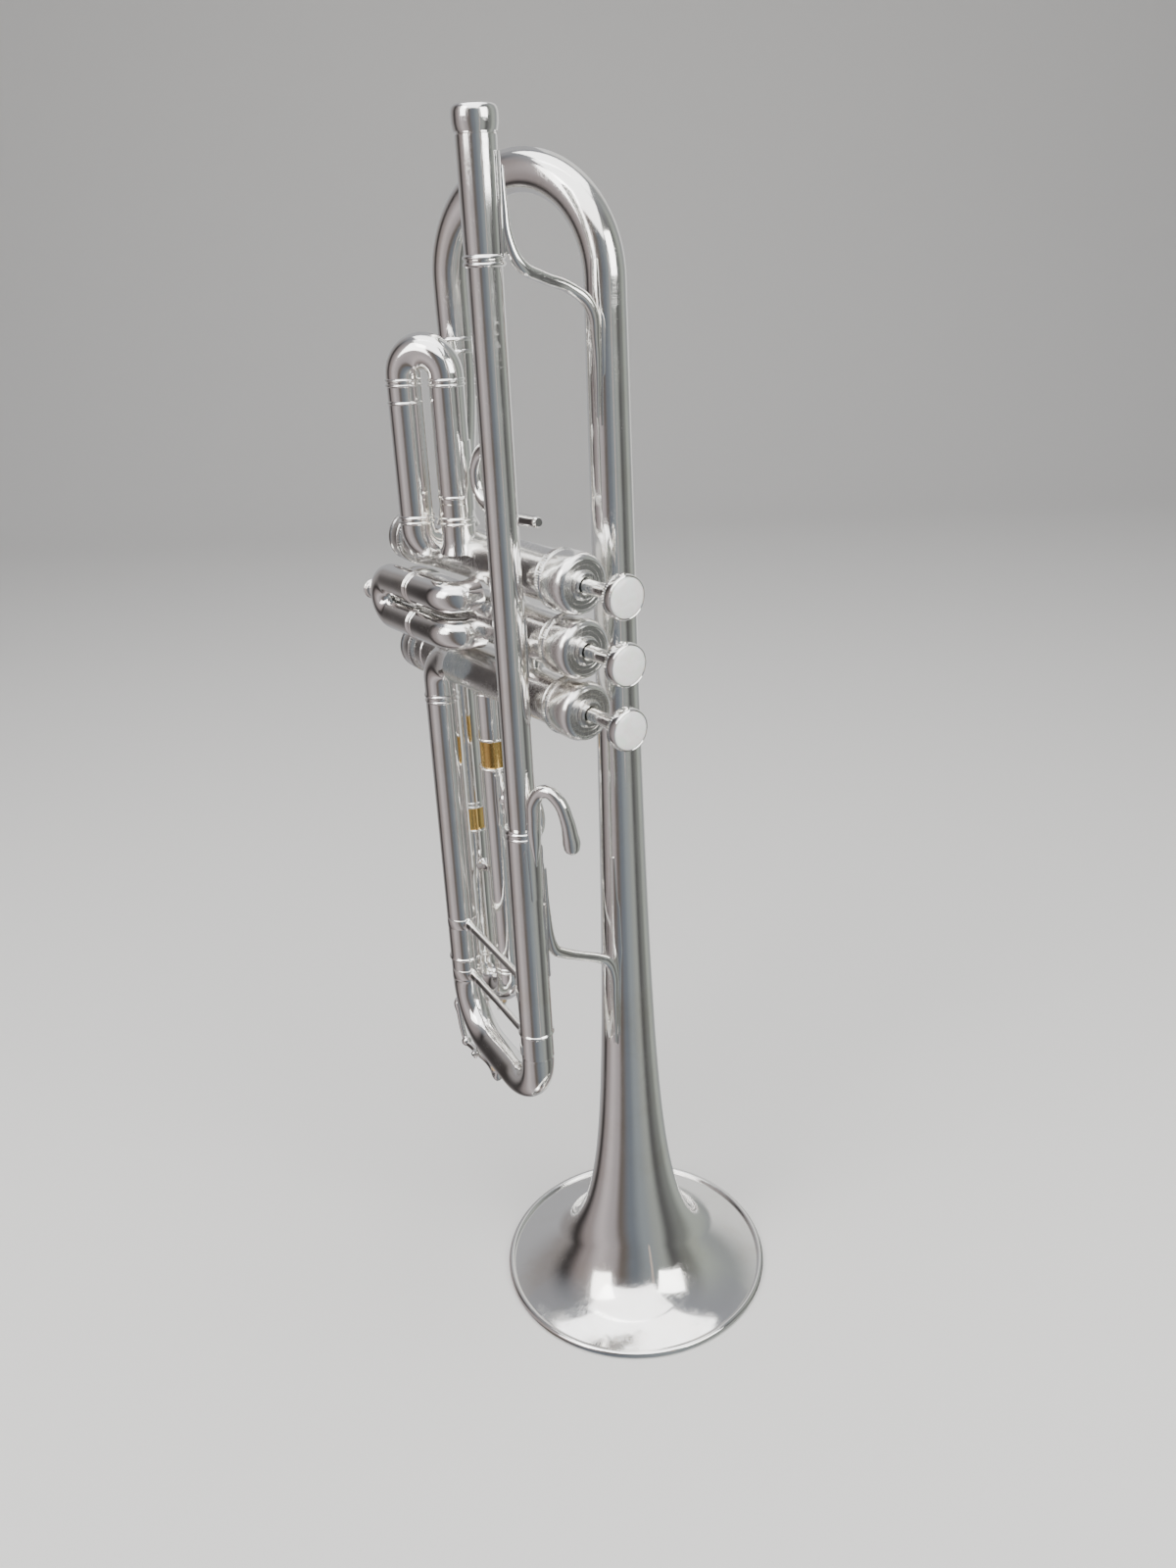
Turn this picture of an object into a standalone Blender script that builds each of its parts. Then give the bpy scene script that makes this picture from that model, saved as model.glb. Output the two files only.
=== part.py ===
"""A B flat trumpet, standing on its bell.

+Z runs from the bell rim up to the mouthpiece receiver, +X points to the finger buttons
and -Y is the leadpipe side. Sizes are in metres, written as millimetres times MM, and
places are given from the bell's axis, which the parent empty moves to its final position.
"""

from math import cos, pi, radians, sin, sqrt

import bmesh
import bpy
from mathutils import Vector

MM = 0.001
GAP = 0.3 * MM
ROUND_STEPS = 20
SMALL_STEPS = 12
UP = Vector((0, 0, 1))
ALONG = Vector((1, 0, 0))

# Bell and bow
RIM_RADIUS = 61.5 * MM
BEAD_RADIUS = 1.6 * MM
BELL_WALL = 0.8 * MM
BELL_TOP_Z = 437.5 * MM
FLARE_LENGTH = 8 * MM
FLARE_POWER = 0.67
THROAT_RADIUS = 3.6 * MM
BOW_START_RADIUS = 7.5 * MM
BOW_END_RADIUS = 6.7 * MM
TUBE_WALL = 0.6 * MM
TAIL_X = -68 * MM
TAIL_Y = -20 * MM

# Leadpipe, receiver and main tuning slide
LEAD_X = -3 * MM
LEAD_Y = -46.5 * MM
LEAD_RADIUS = 5.85 * MM
RECEIVER_TOP_Z = 491 * MM
RECEIVER_FOOT_Z = 445 * MM
RECEIVER_RADIUS = 6.6 * MM
SHANK_BORE = 5 * MM
SLEEVE_RADIUS = 6.95 * MM
SLEEVE_BORE = 6.3 * MM
SLEEVE_RING = 7.45 * MM
SLEEVE_FOOT_Z = 150 * MM
UPPER_SLEEVE_TOP_Z = 246 * MM
LOWER_SLEEVE_TOP_Z = 281 * MM
LOWER_X = -74.4 * MM
LOWER_Y = -36.5 * MM
SLIDE_LEG_RADIUS = 6 * MM
SLIDE_BORE = 5.5 * MM
CROOK_RADIUS = 6.9 * MM
CROOK_BEND = 24 * MM
CROOK_START_Z = 138 * MM
SLIDE_LEG_TOP_Z = 236 * MM

# Braces, hook and water keys
BRACE_ROD = 1.7 * MM
BRACE_FOOT = 3.6 * MM
BENT_BRACE_ROD = 2.2 * MM
BENT_BRACE_TIP = 0.7 * MM
HOOK_ROD = 2.9 * MM
KEY_CORK_RADIUS = 2.7 * MM
KEY_CORK_THICKNESS = 2.2 * MM
KEY_POST_RADIUS = 1.9 * MM
MAIN_KEY_ROD = 1.6 * MM
THIRD_KEY_ROD = 1.4 * MM
MAIN_BRACE_Z = 143 * MM
FIXED_BRACE_Z = 170 * MM
HOOK_Z = 236 * MM
MAIN_KEY_PIVOT = (-66 * MM, -38.5 * MM, 100 * MM)
MAIN_KEY_POST = (1.9 * MM, 8.9 * MM)
THIRD_KEY_DROP = 4.6 * MM
THIRD_KEY_POST = (2.2 * MM, 4.7 * MM)

# Valves
VALVE_Y = -28.6 * MM
VALVE_SPACING = 23.9 * MM
VALVE_2_Z = 317.6 * MM
CASING_RADIUS = 9.8 * MM
CASING_BORE = 8.75 * MM
CASING_TOP_X = 18.4 * MM
CASING_FOOT_X = -101 * MM
CAP_FACE_X = 21 * MM
CAP_LENGTH = 16 * MM
CAP_RADIUS = 11.4 * MM
FOOT_CAP_X = -105 * MM
FOOT_CAP_LENGTH = 12 * MM
FOOT_CAP_RADIUS = 10.9 * MM
PISTON_RADIUS = 8.6 * MM
PISTON_TOP_X = -14 * MM
PISTON_FOOT_X = -75 * MM
PORT_RADIUS = 5.3 * MM
PASSAGE_RADIUS = 4.9 * MM
PASSAGE_FIRST = 12 * MM
PASSAGE_SPACING = 18 * MM
STEM_RADIUS = 2.7 * MM
BUTTON_UNDERSIDE_X = 38 * MM
BUTTON_TOP_X = 43.4 * MM
BUTTON_RADIUS = 7.9 * MM
PEARL_RADIUS = 6.3 * MM
FELT_THICKNESS = 1.2 * MM
FELT_RADIUS = 5.2 * MM
SPRING_RADIUS = 6 * MM
SPRING_WIRE = 0.55 * MM
SPRING_TURNS = 4
BRIDGE_X = {"1_2": -30 * MM, "2_3": -20 * MM}

# Valve slides
VALVE_TUBE_RADIUS = 6.5 * MM
VALVE_TUBE_BORE = 5.98 * MM
INNER_TUBE_RADIUS = 5.7 * MM
INNER_TUBE_BORE = 5.3 * MM
VALVE_TUBE_BEND = 8 * MM
RING_RISE = 0.5 * MM
RING_WIDTH = 3 * MM
STEP = 0.3 * MM
FIRST_A = (-64.2 * MM, -46 * MM)
FIRST_B = (-49.5 * MM, -36.5 * MM)
FIRST_RING_Z = 354 * MM
FIRST_BEND_Z = 353 * MM
FIRST_B_FOOT_Z = 344 * MM
SADDLE_Y = -33 * MM
SADDLE_ROD = 2.3 * MM
FIRST_A_END_Z = 400 * MM
FIRST_B_END_Z = 363 * MM
FIRST_CROOK_Z = 408.8 * MM
SECOND_Y = -46 * MM
SECOND_Z = (313 * MM, 327.6 * MM)
SECOND_BEND_X = -44 * MM
SECOND_END_X = -70 * MM
SECOND_CROOK_X = -89.5 * MM
KNOB_END_X = -109 * MM
THIRD_Y = -20 * MM
THIRD_A_X = -63.5 * MM
THIRD_B_X = -86 * MM
THIRD_A_END_Z = 258 * MM
THIRD_A_SLIDE_Z = 246 * MM
THIRD_B_END_Z = 219 * MM
THIRD_B_SLIDE_Z = 208 * MM
THIRD_INNER_TOP_Z = 268 * MM
THIRD_CROOK_Z = 138.3 * MM
THIRD_A_FOOT_Z = 153.3 * MM
THIRD_BORE_Z = 141.3 * MM
THIRD_BRACE_Z = 190 * MM
RING_RADIUS = 12.5 * MM
RING_WIRE = 2 * MM
RING_Z = 231 * MM

# The origin is below the middle of the whole trumpet, so the bell's axis stands off it.
BELL_AXIS_X = -(RIM_RADIUS + KNOB_END_X) / 2

SILVER = ("silver_plate", (0.86, 0.85, 0.82, 1), 0.12, 1.0)
BRASS = ("brass", (0.83, 0.61, 0.26, 1), 0.2, 1.0)
NICKEL = ("nickel_silver", (0.74, 0.72, 0.68, 1), 0.25, 1.0)
PEARL = ("mother_of_pearl", (0.93, 0.92, 0.9, 1), 0.2, 0.0)
FELT = ("felt", (0.9, 0.88, 0.84, 1), 0.95, 0.0)
CORK = ("cork", (0.62, 0.43, 0.25, 1), 0.85, 0.0)
STEEL = ("spring_steel", (0.6, 0.6, 0.6, 1), 0.35, 1.0)


def start_scene():
    for obj in list(bpy.data.objects):
        bpy.data.objects.remove(obj)
    parts = bpy.data.collections.new("trumpet")
    cutters = bpy.data.collections.new("cutters")
    bpy.context.scene.collection.children.link(parts)
    bpy.context.scene.collection.children.link(cutters)
    frame = bpy.data.objects.new("bell_axis", None)
    frame.location = (BELL_AXIS_X, 0, 0)
    parts.objects.link(frame)
    return parts, cutters, frame


def material(look):
    name, colour, roughness, metallic = look
    made = bpy.data.materials.get(name)
    if made is None:
        made = bpy.data.materials.new(name)
        made.use_nodes = True
        shader = made.node_tree.nodes["Principled BSDF"]
        shader.inputs["Base Color"].default_value = colour
        shader.inputs["Roughness"].default_value = roughness
        shader.inputs["Metallic"].default_value = metallic
    return made


def place(obj, look):
    """Puts a finished piece in the trumpet, on the bell axis empty."""
    obj.data.materials.append(material(look))
    PARTS.objects.link(obj)
    obj.parent = FRAME
    return obj


def place_cutter(obj):
    CUTTERS.objects.link(obj)
    obj.parent = FRAME
    obj.hide_render = True
    obj.display_type = "WIRE"
    return obj


def joint_empty(name, location):
    """An empty on a joint's axis, which its moving pieces hang from."""
    empty = bpy.data.objects.new(name, None)
    empty.location = location
    empty.parent = FRAME
    PARTS.objects.link(empty)
    bpy.context.view_layer.update()
    return empty


def hang(obj, empty):
    """Moves a piece from the bell axis empty to a joint's empty, and keeps it where it is."""
    obj.parent = empty
    obj.location = obj.location - empty.location
    return obj


def turned(name, profile, look, base=(0, 0, 0), axis=UP, steps=ROUND_STEPS):
    """A profile of (radius, height) pairs, down the outer side, turned about an axis."""
    on_axis = profile[0][0] == 0
    count = len(profile)
    edges = [(i, i + 1) for i in range(count - 1)]
    if not on_axis:
        edges.append((count - 1, 0))
    mesh = bpy.data.meshes.new(name)
    mesh.from_pydata([(radius, 0, height) for radius, height in profile], edges, [])
    obj = bpy.data.objects.new(name, mesh)
    screw = obj.modifiers.new("Turned", "SCREW")
    screw.steps = steps
    screw.render_steps = steps
    screw.use_merge_vertices = True
    screw.merge_threshold = 0.00001
    screw.use_smooth_shade = True
    obj.location = base
    obj.rotation_euler = UP.rotation_difference(axis).to_euler()
    return place(obj, look)


def tube_curve(name, points, radii, sides):
    """A poly curve with its own radius at each point."""
    curve = bpy.data.curves.new(name, "CURVE")
    curve.dimensions = "3D"
    curve.bevel_depth = 1
    curve.bevel_resolution = (sides - 4) // 2
    curve.use_fill_caps = True
    spline = curve.splines.new("POLY")
    spline.points.add(len(points) - 1)
    for point, place_at, radius in zip(spline.points, points, radii):
        point.co = (*place_at, 1)
        point.radius = radius
    return bpy.data.objects.new(name, curve)


def as_mesh(curve_object):
    """The curve's solid as a mesh object with its caps welded on."""
    bpy.context.scene.collection.objects.link(curve_object)
    bpy.context.view_layer.update()
    graph = bpy.context.evaluated_depsgraph_get()
    mesh = bpy.data.meshes.new_from_object(curve_object.evaluated_get(graph))
    name = curve_object.name
    matrix = curve_object.matrix_world.copy()
    bpy.data.objects.remove(curve_object)
    bm = bmesh.new()
    bm.from_mesh(mesh)
    bmesh.ops.remove_doubles(bm, verts=bm.verts, dist=0.000001)
    bmesh.ops.recalc_face_normals(bm, faces=bm.faces)
    bm.to_mesh(mesh)
    bm.free()
    mesh.shade_smooth()
    mesh.set_sharp_from_angle(angle=radians(40))
    obj = bpy.data.objects.new(name, mesh)
    obj.matrix_world = matrix
    return obj


def cut(obj, cutter):
    boolean = obj.modifiers.new("Cut by " + cutter.name, "BOOLEAN")
    boolean.operation = "DIFFERENCE"
    boolean.solver = "EXACT"
    boolean.object = cutter
    return obj


def spread(radius, count):
    """One radius for every point, or a list as it is."""
    return list(radius) if isinstance(radius, (list, tuple)) else [radius] * count


def pipe(name, points, radius, look, bore=None, sides=12):
    """A bent rod, or a bent tube if it has a bore. A radius may be one value or one for each point."""
    points = [Vector(point) for point in points]
    obj = as_mesh(tube_curve(name, points, spread(radius, len(points)), sides))
    place(obj, look)
    if bore:
        reach = 2 * MM
        start = points[0] + (points[0] - points[1]).normalized() * reach
        end = points[-1] + (points[-1] - points[-2]).normalized() * reach
        bores = spread(bore, len(points))
        route = [start, *points, end]
        radii = [bores[0], *bores, bores[-1]]
        cutter = place_cutter(as_mesh(tube_curve(name + "_bore", route, radii, sides)))
        cut(obj, cutter)
    return obj


def rod_cutter(name, centre, axis, radius, length):
    mesh = bpy.data.meshes.new(name)
    bm = bmesh.new()
    bmesh.ops.create_cone(
        bm, cap_ends=True, segments=ROUND_STEPS, radius1=radius, radius2=radius, depth=length
    )
    bm.to_mesh(mesh)
    bm.free()
    obj = bpy.data.objects.new(name, mesh)
    obj.location = centre
    obj.rotation_euler = UP.rotation_difference(axis).to_euler()
    return place_cutter(obj)


def arc(centre, across, along, radius, start, end, steps):
    """Points on an arc, where angle 0 lies across and 90 degrees lies along."""
    centre, across, along = Vector(centre), Vector(across).normalized(), Vector(along).normalized()
    angles = [radians(start + (end - start) * i / steps) for i in range(steps + 1)]
    return [centre + across * radius * cos(a) + along * radius * sin(a) for a in angles]


def smooth_route(points, steps):
    """A Catmull-Rom curve through the points."""
    points = [Vector(point) for point in points]
    points = [2 * points[0] - points[1], *points, 2 * points[-1] - points[-2]]
    route = []
    for p0, p1, p2, p3 in zip(points, points[1:], points[2:], points[3:]):
        for i in range(steps):
            t = i / steps
            bend = (2 * p0 - 5 * p1 + 4 * p2 - p3) * t * t + (3 * p1 - p0 - 3 * p2 + p3) * t**3
            route.append((2 * p1 + (p2 - p0) * t + bend) / 2)
    route.append(points[-2])
    return route


def valve_z(number):
    return VALVE_2_Z + (2 - number) * VALVE_SPACING


def flare_radius(z):
    """The bell's outer radius at a height above its bead."""
    widest = RIM_RADIUS - BEAD_RADIUS - THROAT_RADIUS
    return THROAT_RADIUS + widest * (1 + z / FLARE_LENGTH) ** -FLARE_POWER


def flare_wall(z):
    """The offset from the outer to the inner face, square to the wall."""
    step = 0.01 * MM
    slope = (flare_radius(z + step) - flare_radius(z)) / step
    length = sqrt(1 + slope * slope)
    return BELL_WALL / length, -BELL_WALL * slope / length


def build_bell():
    bead_top = 2 * BEAD_RADIUS
    rows = 15
    span = BELL_TOP_Z - bead_top
    heights = [span * (1 - i / rows) ** 2.6 for i in range(rows + 1)]
    outer = [(flare_radius(z), z + bead_top) for z in heights]
    centre = RIM_RADIUS - BEAD_RADIUS
    bead = [
        (centre + BEAD_RADIUS * cos(radians(a)), BEAD_RADIUS * (1 + sin(radians(a))))
        for a in (60, 30, 0, -30, -60, -90)
    ]
    lip = centre - 1.2 * MM
    inner = [(lip, 0)]
    for z in reversed(heights):
        across, down = flare_wall(z)
        if flare_radius(z) - across < lip - 0.5 * MM:
            inner.append((flare_radius(z) - across, z + bead_top - down))
    inner[-1] = (inner[-1][0], BELL_TOP_Z)
    turned("bell", outer + bead + inner, SILVER, steps=32)


def build_bow():
    side = Vector((TAIL_X, TAIL_Y, 0))
    radius = side.length / 2
    up = Vector((0, 0, BELL_TOP_Z + GAP))
    rise = 2 * MM
    steps = 12
    centre = side / 2 + up + UP * rise
    route = [up, *arc(centre, -side, UP, radius, 0, 180, steps), side + up]
    shrink = (BOW_START_RADIUS - BOW_END_RADIUS) / (len(route) - 1)
    radii = [BOW_START_RADIUS - shrink * i for i in range(len(route))]
    bores = [radius_here - TUBE_WALL for radius_here in radii]
    pipe("bell_bow", route, radii, SILVER, bores)
    tail = smooth_route(
        [
            (TAIL_X, TAIL_Y, BELL_TOP_Z),
            (TAIL_X, TAIL_Y, 405 * MM),
            (TAIL_X, TAIL_Y - 3 * MM, 375 * MM),
            (TAIL_X, TAIL_Y - 6.5 * MM, 345 * MM),
        ],
        3,
    )
    tail_pipe = pipe("bell_tail", tail, BOW_END_RADIUS, SILVER, BOW_END_RADIUS - TUBE_WALL)
    cut(tail_pipe, CASING_CUTTERS[1])
    outer, inner, width = BOW_END_RADIUS + 0.8 * MM, BOW_END_RADIUS + GAP, 6 * MM
    ring = [(outer, width), (outer, 0), (inner, 0), (inner, width)]
    turned("tail_ferrule", ring, SILVER, base=(TAIL_X, TAIL_Y, 415 * MM))


def build_leadpipe():
    top = RECEIVER_TOP_Z - RECEIVER_FOOT_Z
    collar = 7.4 * MM
    receiver = [
        (6.6 * MM, top),
        (collar, top - 1.2 * MM),
        (collar, top - 6 * MM),
        (RECEIVER_RADIUS, top - 8 * MM),
        (RECEIVER_RADIUS - 0.2 * MM, 5 * MM),
        (7.1 * MM, 4 * MM),
        (7.1 * MM, 0),
        (LEAD_RADIUS + GAP, 0),
        (LEAD_RADIUS + GAP, 3 * MM),
        (4.4 * MM, 4 * MM),
        (SHANK_BORE, top),
    ]
    base = (LEAD_X, LEAD_Y, RECEIVER_FOOT_Z)
    turned("mouthpiece_receiver", receiver, SILVER, base=base)
    foot = UPPER_SLEEVE_TOP_Z - 7 * MM
    length = RECEIVER_FOOT_Z + 2.6 * MM - foot
    bore = LEAD_RADIUS - TUBE_WALL
    pipe_profile = [(LEAD_RADIUS, length), (LEAD_RADIUS, 0), (bore, 0), (bore, length)]
    turned("leadpipe", pipe_profile, SILVER, base=(LEAD_X, LEAD_Y, foot))


def sleeve_profile(length):
    """A slide's outer tube with a double ring at its top and one ring at its foot."""
    ring = 1.6 * MM
    step = 0.3 * MM
    return [
        (SLEEVE_RING, length),
        (SLEEVE_RING, length - ring),
        (SLEEVE_RADIUS, length - ring - step),
        (SLEEVE_RADIUS, length - 2 * ring),
        (SLEEVE_RING, length - 2 * ring - step),
        (SLEEVE_RING, length - 3 * ring),
        (SLEEVE_RADIUS, length - 3 * ring - step),
        (SLEEVE_RADIUS, 4 * MM + step),
        (SLEEVE_RING, 4 * MM),
        (SLEEVE_RING, 0),
        (SLEEVE_BORE, 0),
        (SLEEVE_BORE, length),
    ]


def build_slide_sleeves():
    upper = sleeve_profile(UPPER_SLEEVE_TOP_Z - SLEEVE_FOOT_Z)
    turned("upper_slide_sleeve", upper, SILVER, base=(LEAD_X, LEAD_Y, SLEEVE_FOOT_Z))
    lower = sleeve_profile(LOWER_SLEEVE_TOP_Z - SLEEVE_FOOT_Z)
    turned("lower_slide_sleeve", lower, SILVER, base=(LOWER_X, LOWER_Y, SLEEVE_FOOT_Z))
    foot = (LOWER_X, LOWER_Y, LOWER_SLEEVE_TOP_Z + GAP)
    bend = 10.5 * MM
    centre = (LOWER_X + bend, LOWER_Y, LOWER_SLEEVE_TOP_Z + 5 * MM)
    elbow = arc(centre, -ALONG, UP, bend, 0, 90, 5)
    elbow.append(elbow[-1] + Vector((6 * MM, 2 * MM, 0)))
    elbow_pipe = pipe("third_valve_elbow", [foot, *elbow], CROOK_RADIUS, SILVER, SLEEVE_BORE)
    cut(elbow_pipe, CASING_CUTTERS[3])


def between(a, b, radius_a, radius_b):
    """The two ends of a brace between two tubes, just off their walls."""
    a, b = Vector(a), Vector(b)
    way = (b - a).normalized()
    return a + way * (radius_a + GAP), b - way * (radius_b + GAP)


def build_brace(name, a, b, radius_a, radius_b):
    """A round brace with a foot that spreads on each tube."""
    start, end = between(a, b, radius_a, radius_b)
    length = (end - start).length
    edge = 0.8 * MM
    spread_end = 2.6 * MM
    profile = [
        (0, length),
        (BRACE_FOOT, length),
        (BRACE_FOOT, length - edge),
        (BRACE_ROD, length - spread_end),
        (BRACE_ROD, spread_end),
        (BRACE_FOOT, edge),
        (BRACE_FOOT, 0),
        (0, 0),
    ]
    return turned(name, profile, SILVER, base=start, axis=(end - start), steps=SMALL_STEPS)


def build_main_slide():
    empty = joint_empty("main_slide_axis", (LEAD_X, LEAD_Y, SLEEVE_FOOT_Z))
    upper = Vector((LEAD_X, LEAD_Y, 0))
    lower = Vector((LOWER_X, LOWER_Y, 0))
    across = (upper - lower).normalized()
    start = UP * CROOK_START_Z
    collar = SLEEVE_FOOT_Z - GAP
    shoulder = collar - 0.2 * MM
    corner_a = upper + start - across * CROOK_BEND
    corner_b = lower + start + across * CROOK_BEND
    bend_a = arc(corner_a, across, -UP, CROOK_BEND, 0, 90, 5)
    bend_b = arc(corner_b, -UP, -across, CROOK_BEND, 0, 90, 5)
    upper_leg = [upper + UP * z for z in (SLIDE_LEG_TOP_Z, collar, shoulder)]
    lower_leg = [lower + UP * z for z in (shoulder, collar, SLIDE_LEG_TOP_Z)]
    route = upper_leg + bend_a + bend_b + lower_leg
    leg = SLIDE_LEG_RADIUS
    bends = len(bend_a) + len(bend_b)
    radii = [leg, leg, CROOK_RADIUS] + [CROOK_RADIUS] * bends + [CROOK_RADIUS, leg, leg]
    hang(pipe("main_tuning_slide", route, radii, SILVER, SLIDE_BORE), empty)
    at = UP * MAIN_BRACE_Z
    brace = build_brace("main_slide_brace", upper + at, lower + at, CROOK_RADIUS, CROOK_RADIUS)
    hang(brace, empty)


def bent_brace_radii(route):
    """A bent brace keeps its thickness and is drawn down to a tip at each end."""
    middle = [BENT_BRACE_ROD] * (len(route) - 2)
    return [BENT_BRACE_TIP, *middle, BENT_BRACE_TIP]


def build_fixed_braces():
    upper = (LEAD_X, LEAD_Y, FIXED_BRACE_Z)
    lower = (LOWER_X, LOWER_Y, FIXED_BRACE_Z)
    build_brace("tuning_slide_brace", upper, lower, SLEEVE_RADIUS, SLEEVE_RADIUS)
    receiver_brace = smooth_route(
        [
            (2.9 * MM, -40.2 * MM, 474 * MM),
            (2.9 * MM, -39.6 * MM, 462 * MM),
            (2.7 * MM, -38.8 * MM, 449 * MM),
            (1.5 * MM, -33 * MM, 441 * MM),
            (3 * MM, -18 * MM, 436 * MM),
            (5.2 * MM, -10.6 * MM, 428 * MM),
            (4.6 * MM, -9.8 * MM, 412 * MM),
            (4.2 * MM, -9.4 * MM, 395 * MM),
        ],
        3,
    )
    pipe("receiver_brace", receiver_brace, bent_brace_radii(receiver_brace), SILVER, sides=8)
    sleeve_brace = smooth_route(
        [
            (3.4 * MM, -38 * MM, 225 * MM),
            (3.4 * MM, -37.6 * MM, 208 * MM),
            (3.2 * MM, -35.6 * MM, 195 * MM),
            (3.6 * MM, -26 * MM, 183 * MM),
            (5.6 * MM, -16 * MM, 174 * MM),
            (6.4 * MM, -13.6 * MM, 160 * MM),
            (6.8 * MM, -14.2 * MM, 135 * MM),
        ],
        3,
    )
    pipe("sleeve_brace", sleeve_brace, bent_brace_radii(sleeve_brace), SILVER, sides=8)


def build_pinky_hook():
    x = LEAD_X + SLEEVE_RING + 2 * MM
    hook = smooth_route(
        [
            (x, LEAD_Y, HOOK_Z - 4 * MM),
            (x, LEAD_Y, HOOK_Z + 14 * MM),
            (x + 1 * MM, LEAD_Y, HOOK_Z + 28 * MM),
            (x + 8 * MM, LEAD_Y, HOOK_Z + 35 * MM),
            (x + 17 * MM, LEAD_Y, HOOK_Z + 30 * MM),
            (x + 21 * MM, LEAD_Y, HOOK_Z + 18 * MM),
            (x + 22 * MM, LEAD_Y, HOOK_Z + 9 * MM),
        ],
        3,
    )
    tip, swell, end = 1.2 * MM, 3.6 * MM, 2.2 * MM
    swell_steps = 8
    radii = [tip + (HOOK_ROD - tip) * min(1, i / swell_steps) for i in range(len(hook))]
    radii[-2:] = [swell, end]
    pipe("pinky_hook", hook, radii, SILVER, sides=10)


def build_valve(number):
    z = valve_z(number)
    foot = (CASING_FOOT_X, VALVE_Y, z)
    length = CASING_TOP_X - CASING_FOOT_X
    casing = [(CASING_RADIUS, length), (CASING_RADIUS, 0), (CASING_BORE, 0), (CASING_BORE, length)]
    shell = turned(f"valve_casing_{number}", casing, SILVER, base=foot, axis=ALONG)
    for port in PORTS[number]:
        cut(shell, port)
    wall = CASING_RADIUS + GAP
    face = CAP_LENGTH - (CAP_FACE_X - CASING_TOP_X - GAP)
    hole = STEM_RADIUS + 0.4 * MM
    boss = 4.6 * MM
    top_cap = [
        (boss, CAP_LENGTH),
        (boss, CAP_LENGTH - 0.8 * MM),
        (CAP_RADIUS - 1.2 * MM, CAP_LENGTH - 0.8 * MM),
        (CAP_RADIUS, CAP_LENGTH - 2 * MM),
        (CAP_RADIUS, 0.6 * MM),
        (CAP_RADIUS - 0.6 * MM, 0),
        (wall, 0),
        (wall, face),
        (hole, face),
        (hole, CAP_LENGTH),
    ]
    base = (CAP_FACE_X - CAP_LENGTH, VALVE_Y, z)
    turned(f"top_cap_{number}", top_cap, SILVER, base=base, axis=ALONG)
    floor = CASING_FOOT_X - FOOT_CAP_X - GAP
    vent = 1.5 * MM
    bottom_cap = [
        (FOOT_CAP_RADIUS - 0.5 * MM, FOOT_CAP_LENGTH),
        (FOOT_CAP_RADIUS, FOOT_CAP_LENGTH - 0.5 * MM),
        (FOOT_CAP_RADIUS, 2.6 * MM),
        (FOOT_CAP_RADIUS - 1 * MM, 1 * MM),
        (FOOT_CAP_RADIUS - 3.2 * MM, 0),
        (vent, 0),
        (vent, floor),
        (wall, floor),
        (wall, FOOT_CAP_LENGTH),
    ]
    base = (FOOT_CAP_X, VALVE_Y, z)
    turned(f"bottom_cap_{number}", bottom_cap, SILVER, base=base, axis=ALONG)
    build_spring(number, FOOT_CAP_X + floor + GAP, PISTON_FOOT_X - GAP, z)
    build_piston(number, z)


def build_spring(number, low, high, z):
    """The coil under a piston, from the bottom cap up to the piston's foot."""
    low += SPRING_WIRE
    high -= SPRING_WIRE
    per_turn = 8
    count = SPRING_TURNS * per_turn
    route = []
    for i in range(count + 1):
        angle = 2 * pi * i / per_turn
        x = low + (high - low) * i / count
        route.append((x, VALVE_Y + SPRING_RADIUS * cos(angle), z + SPRING_RADIUS * sin(angle)))
    pipe(f"valve_spring_{number}", route, SPRING_WIRE, STEEL, sides=4)


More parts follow.
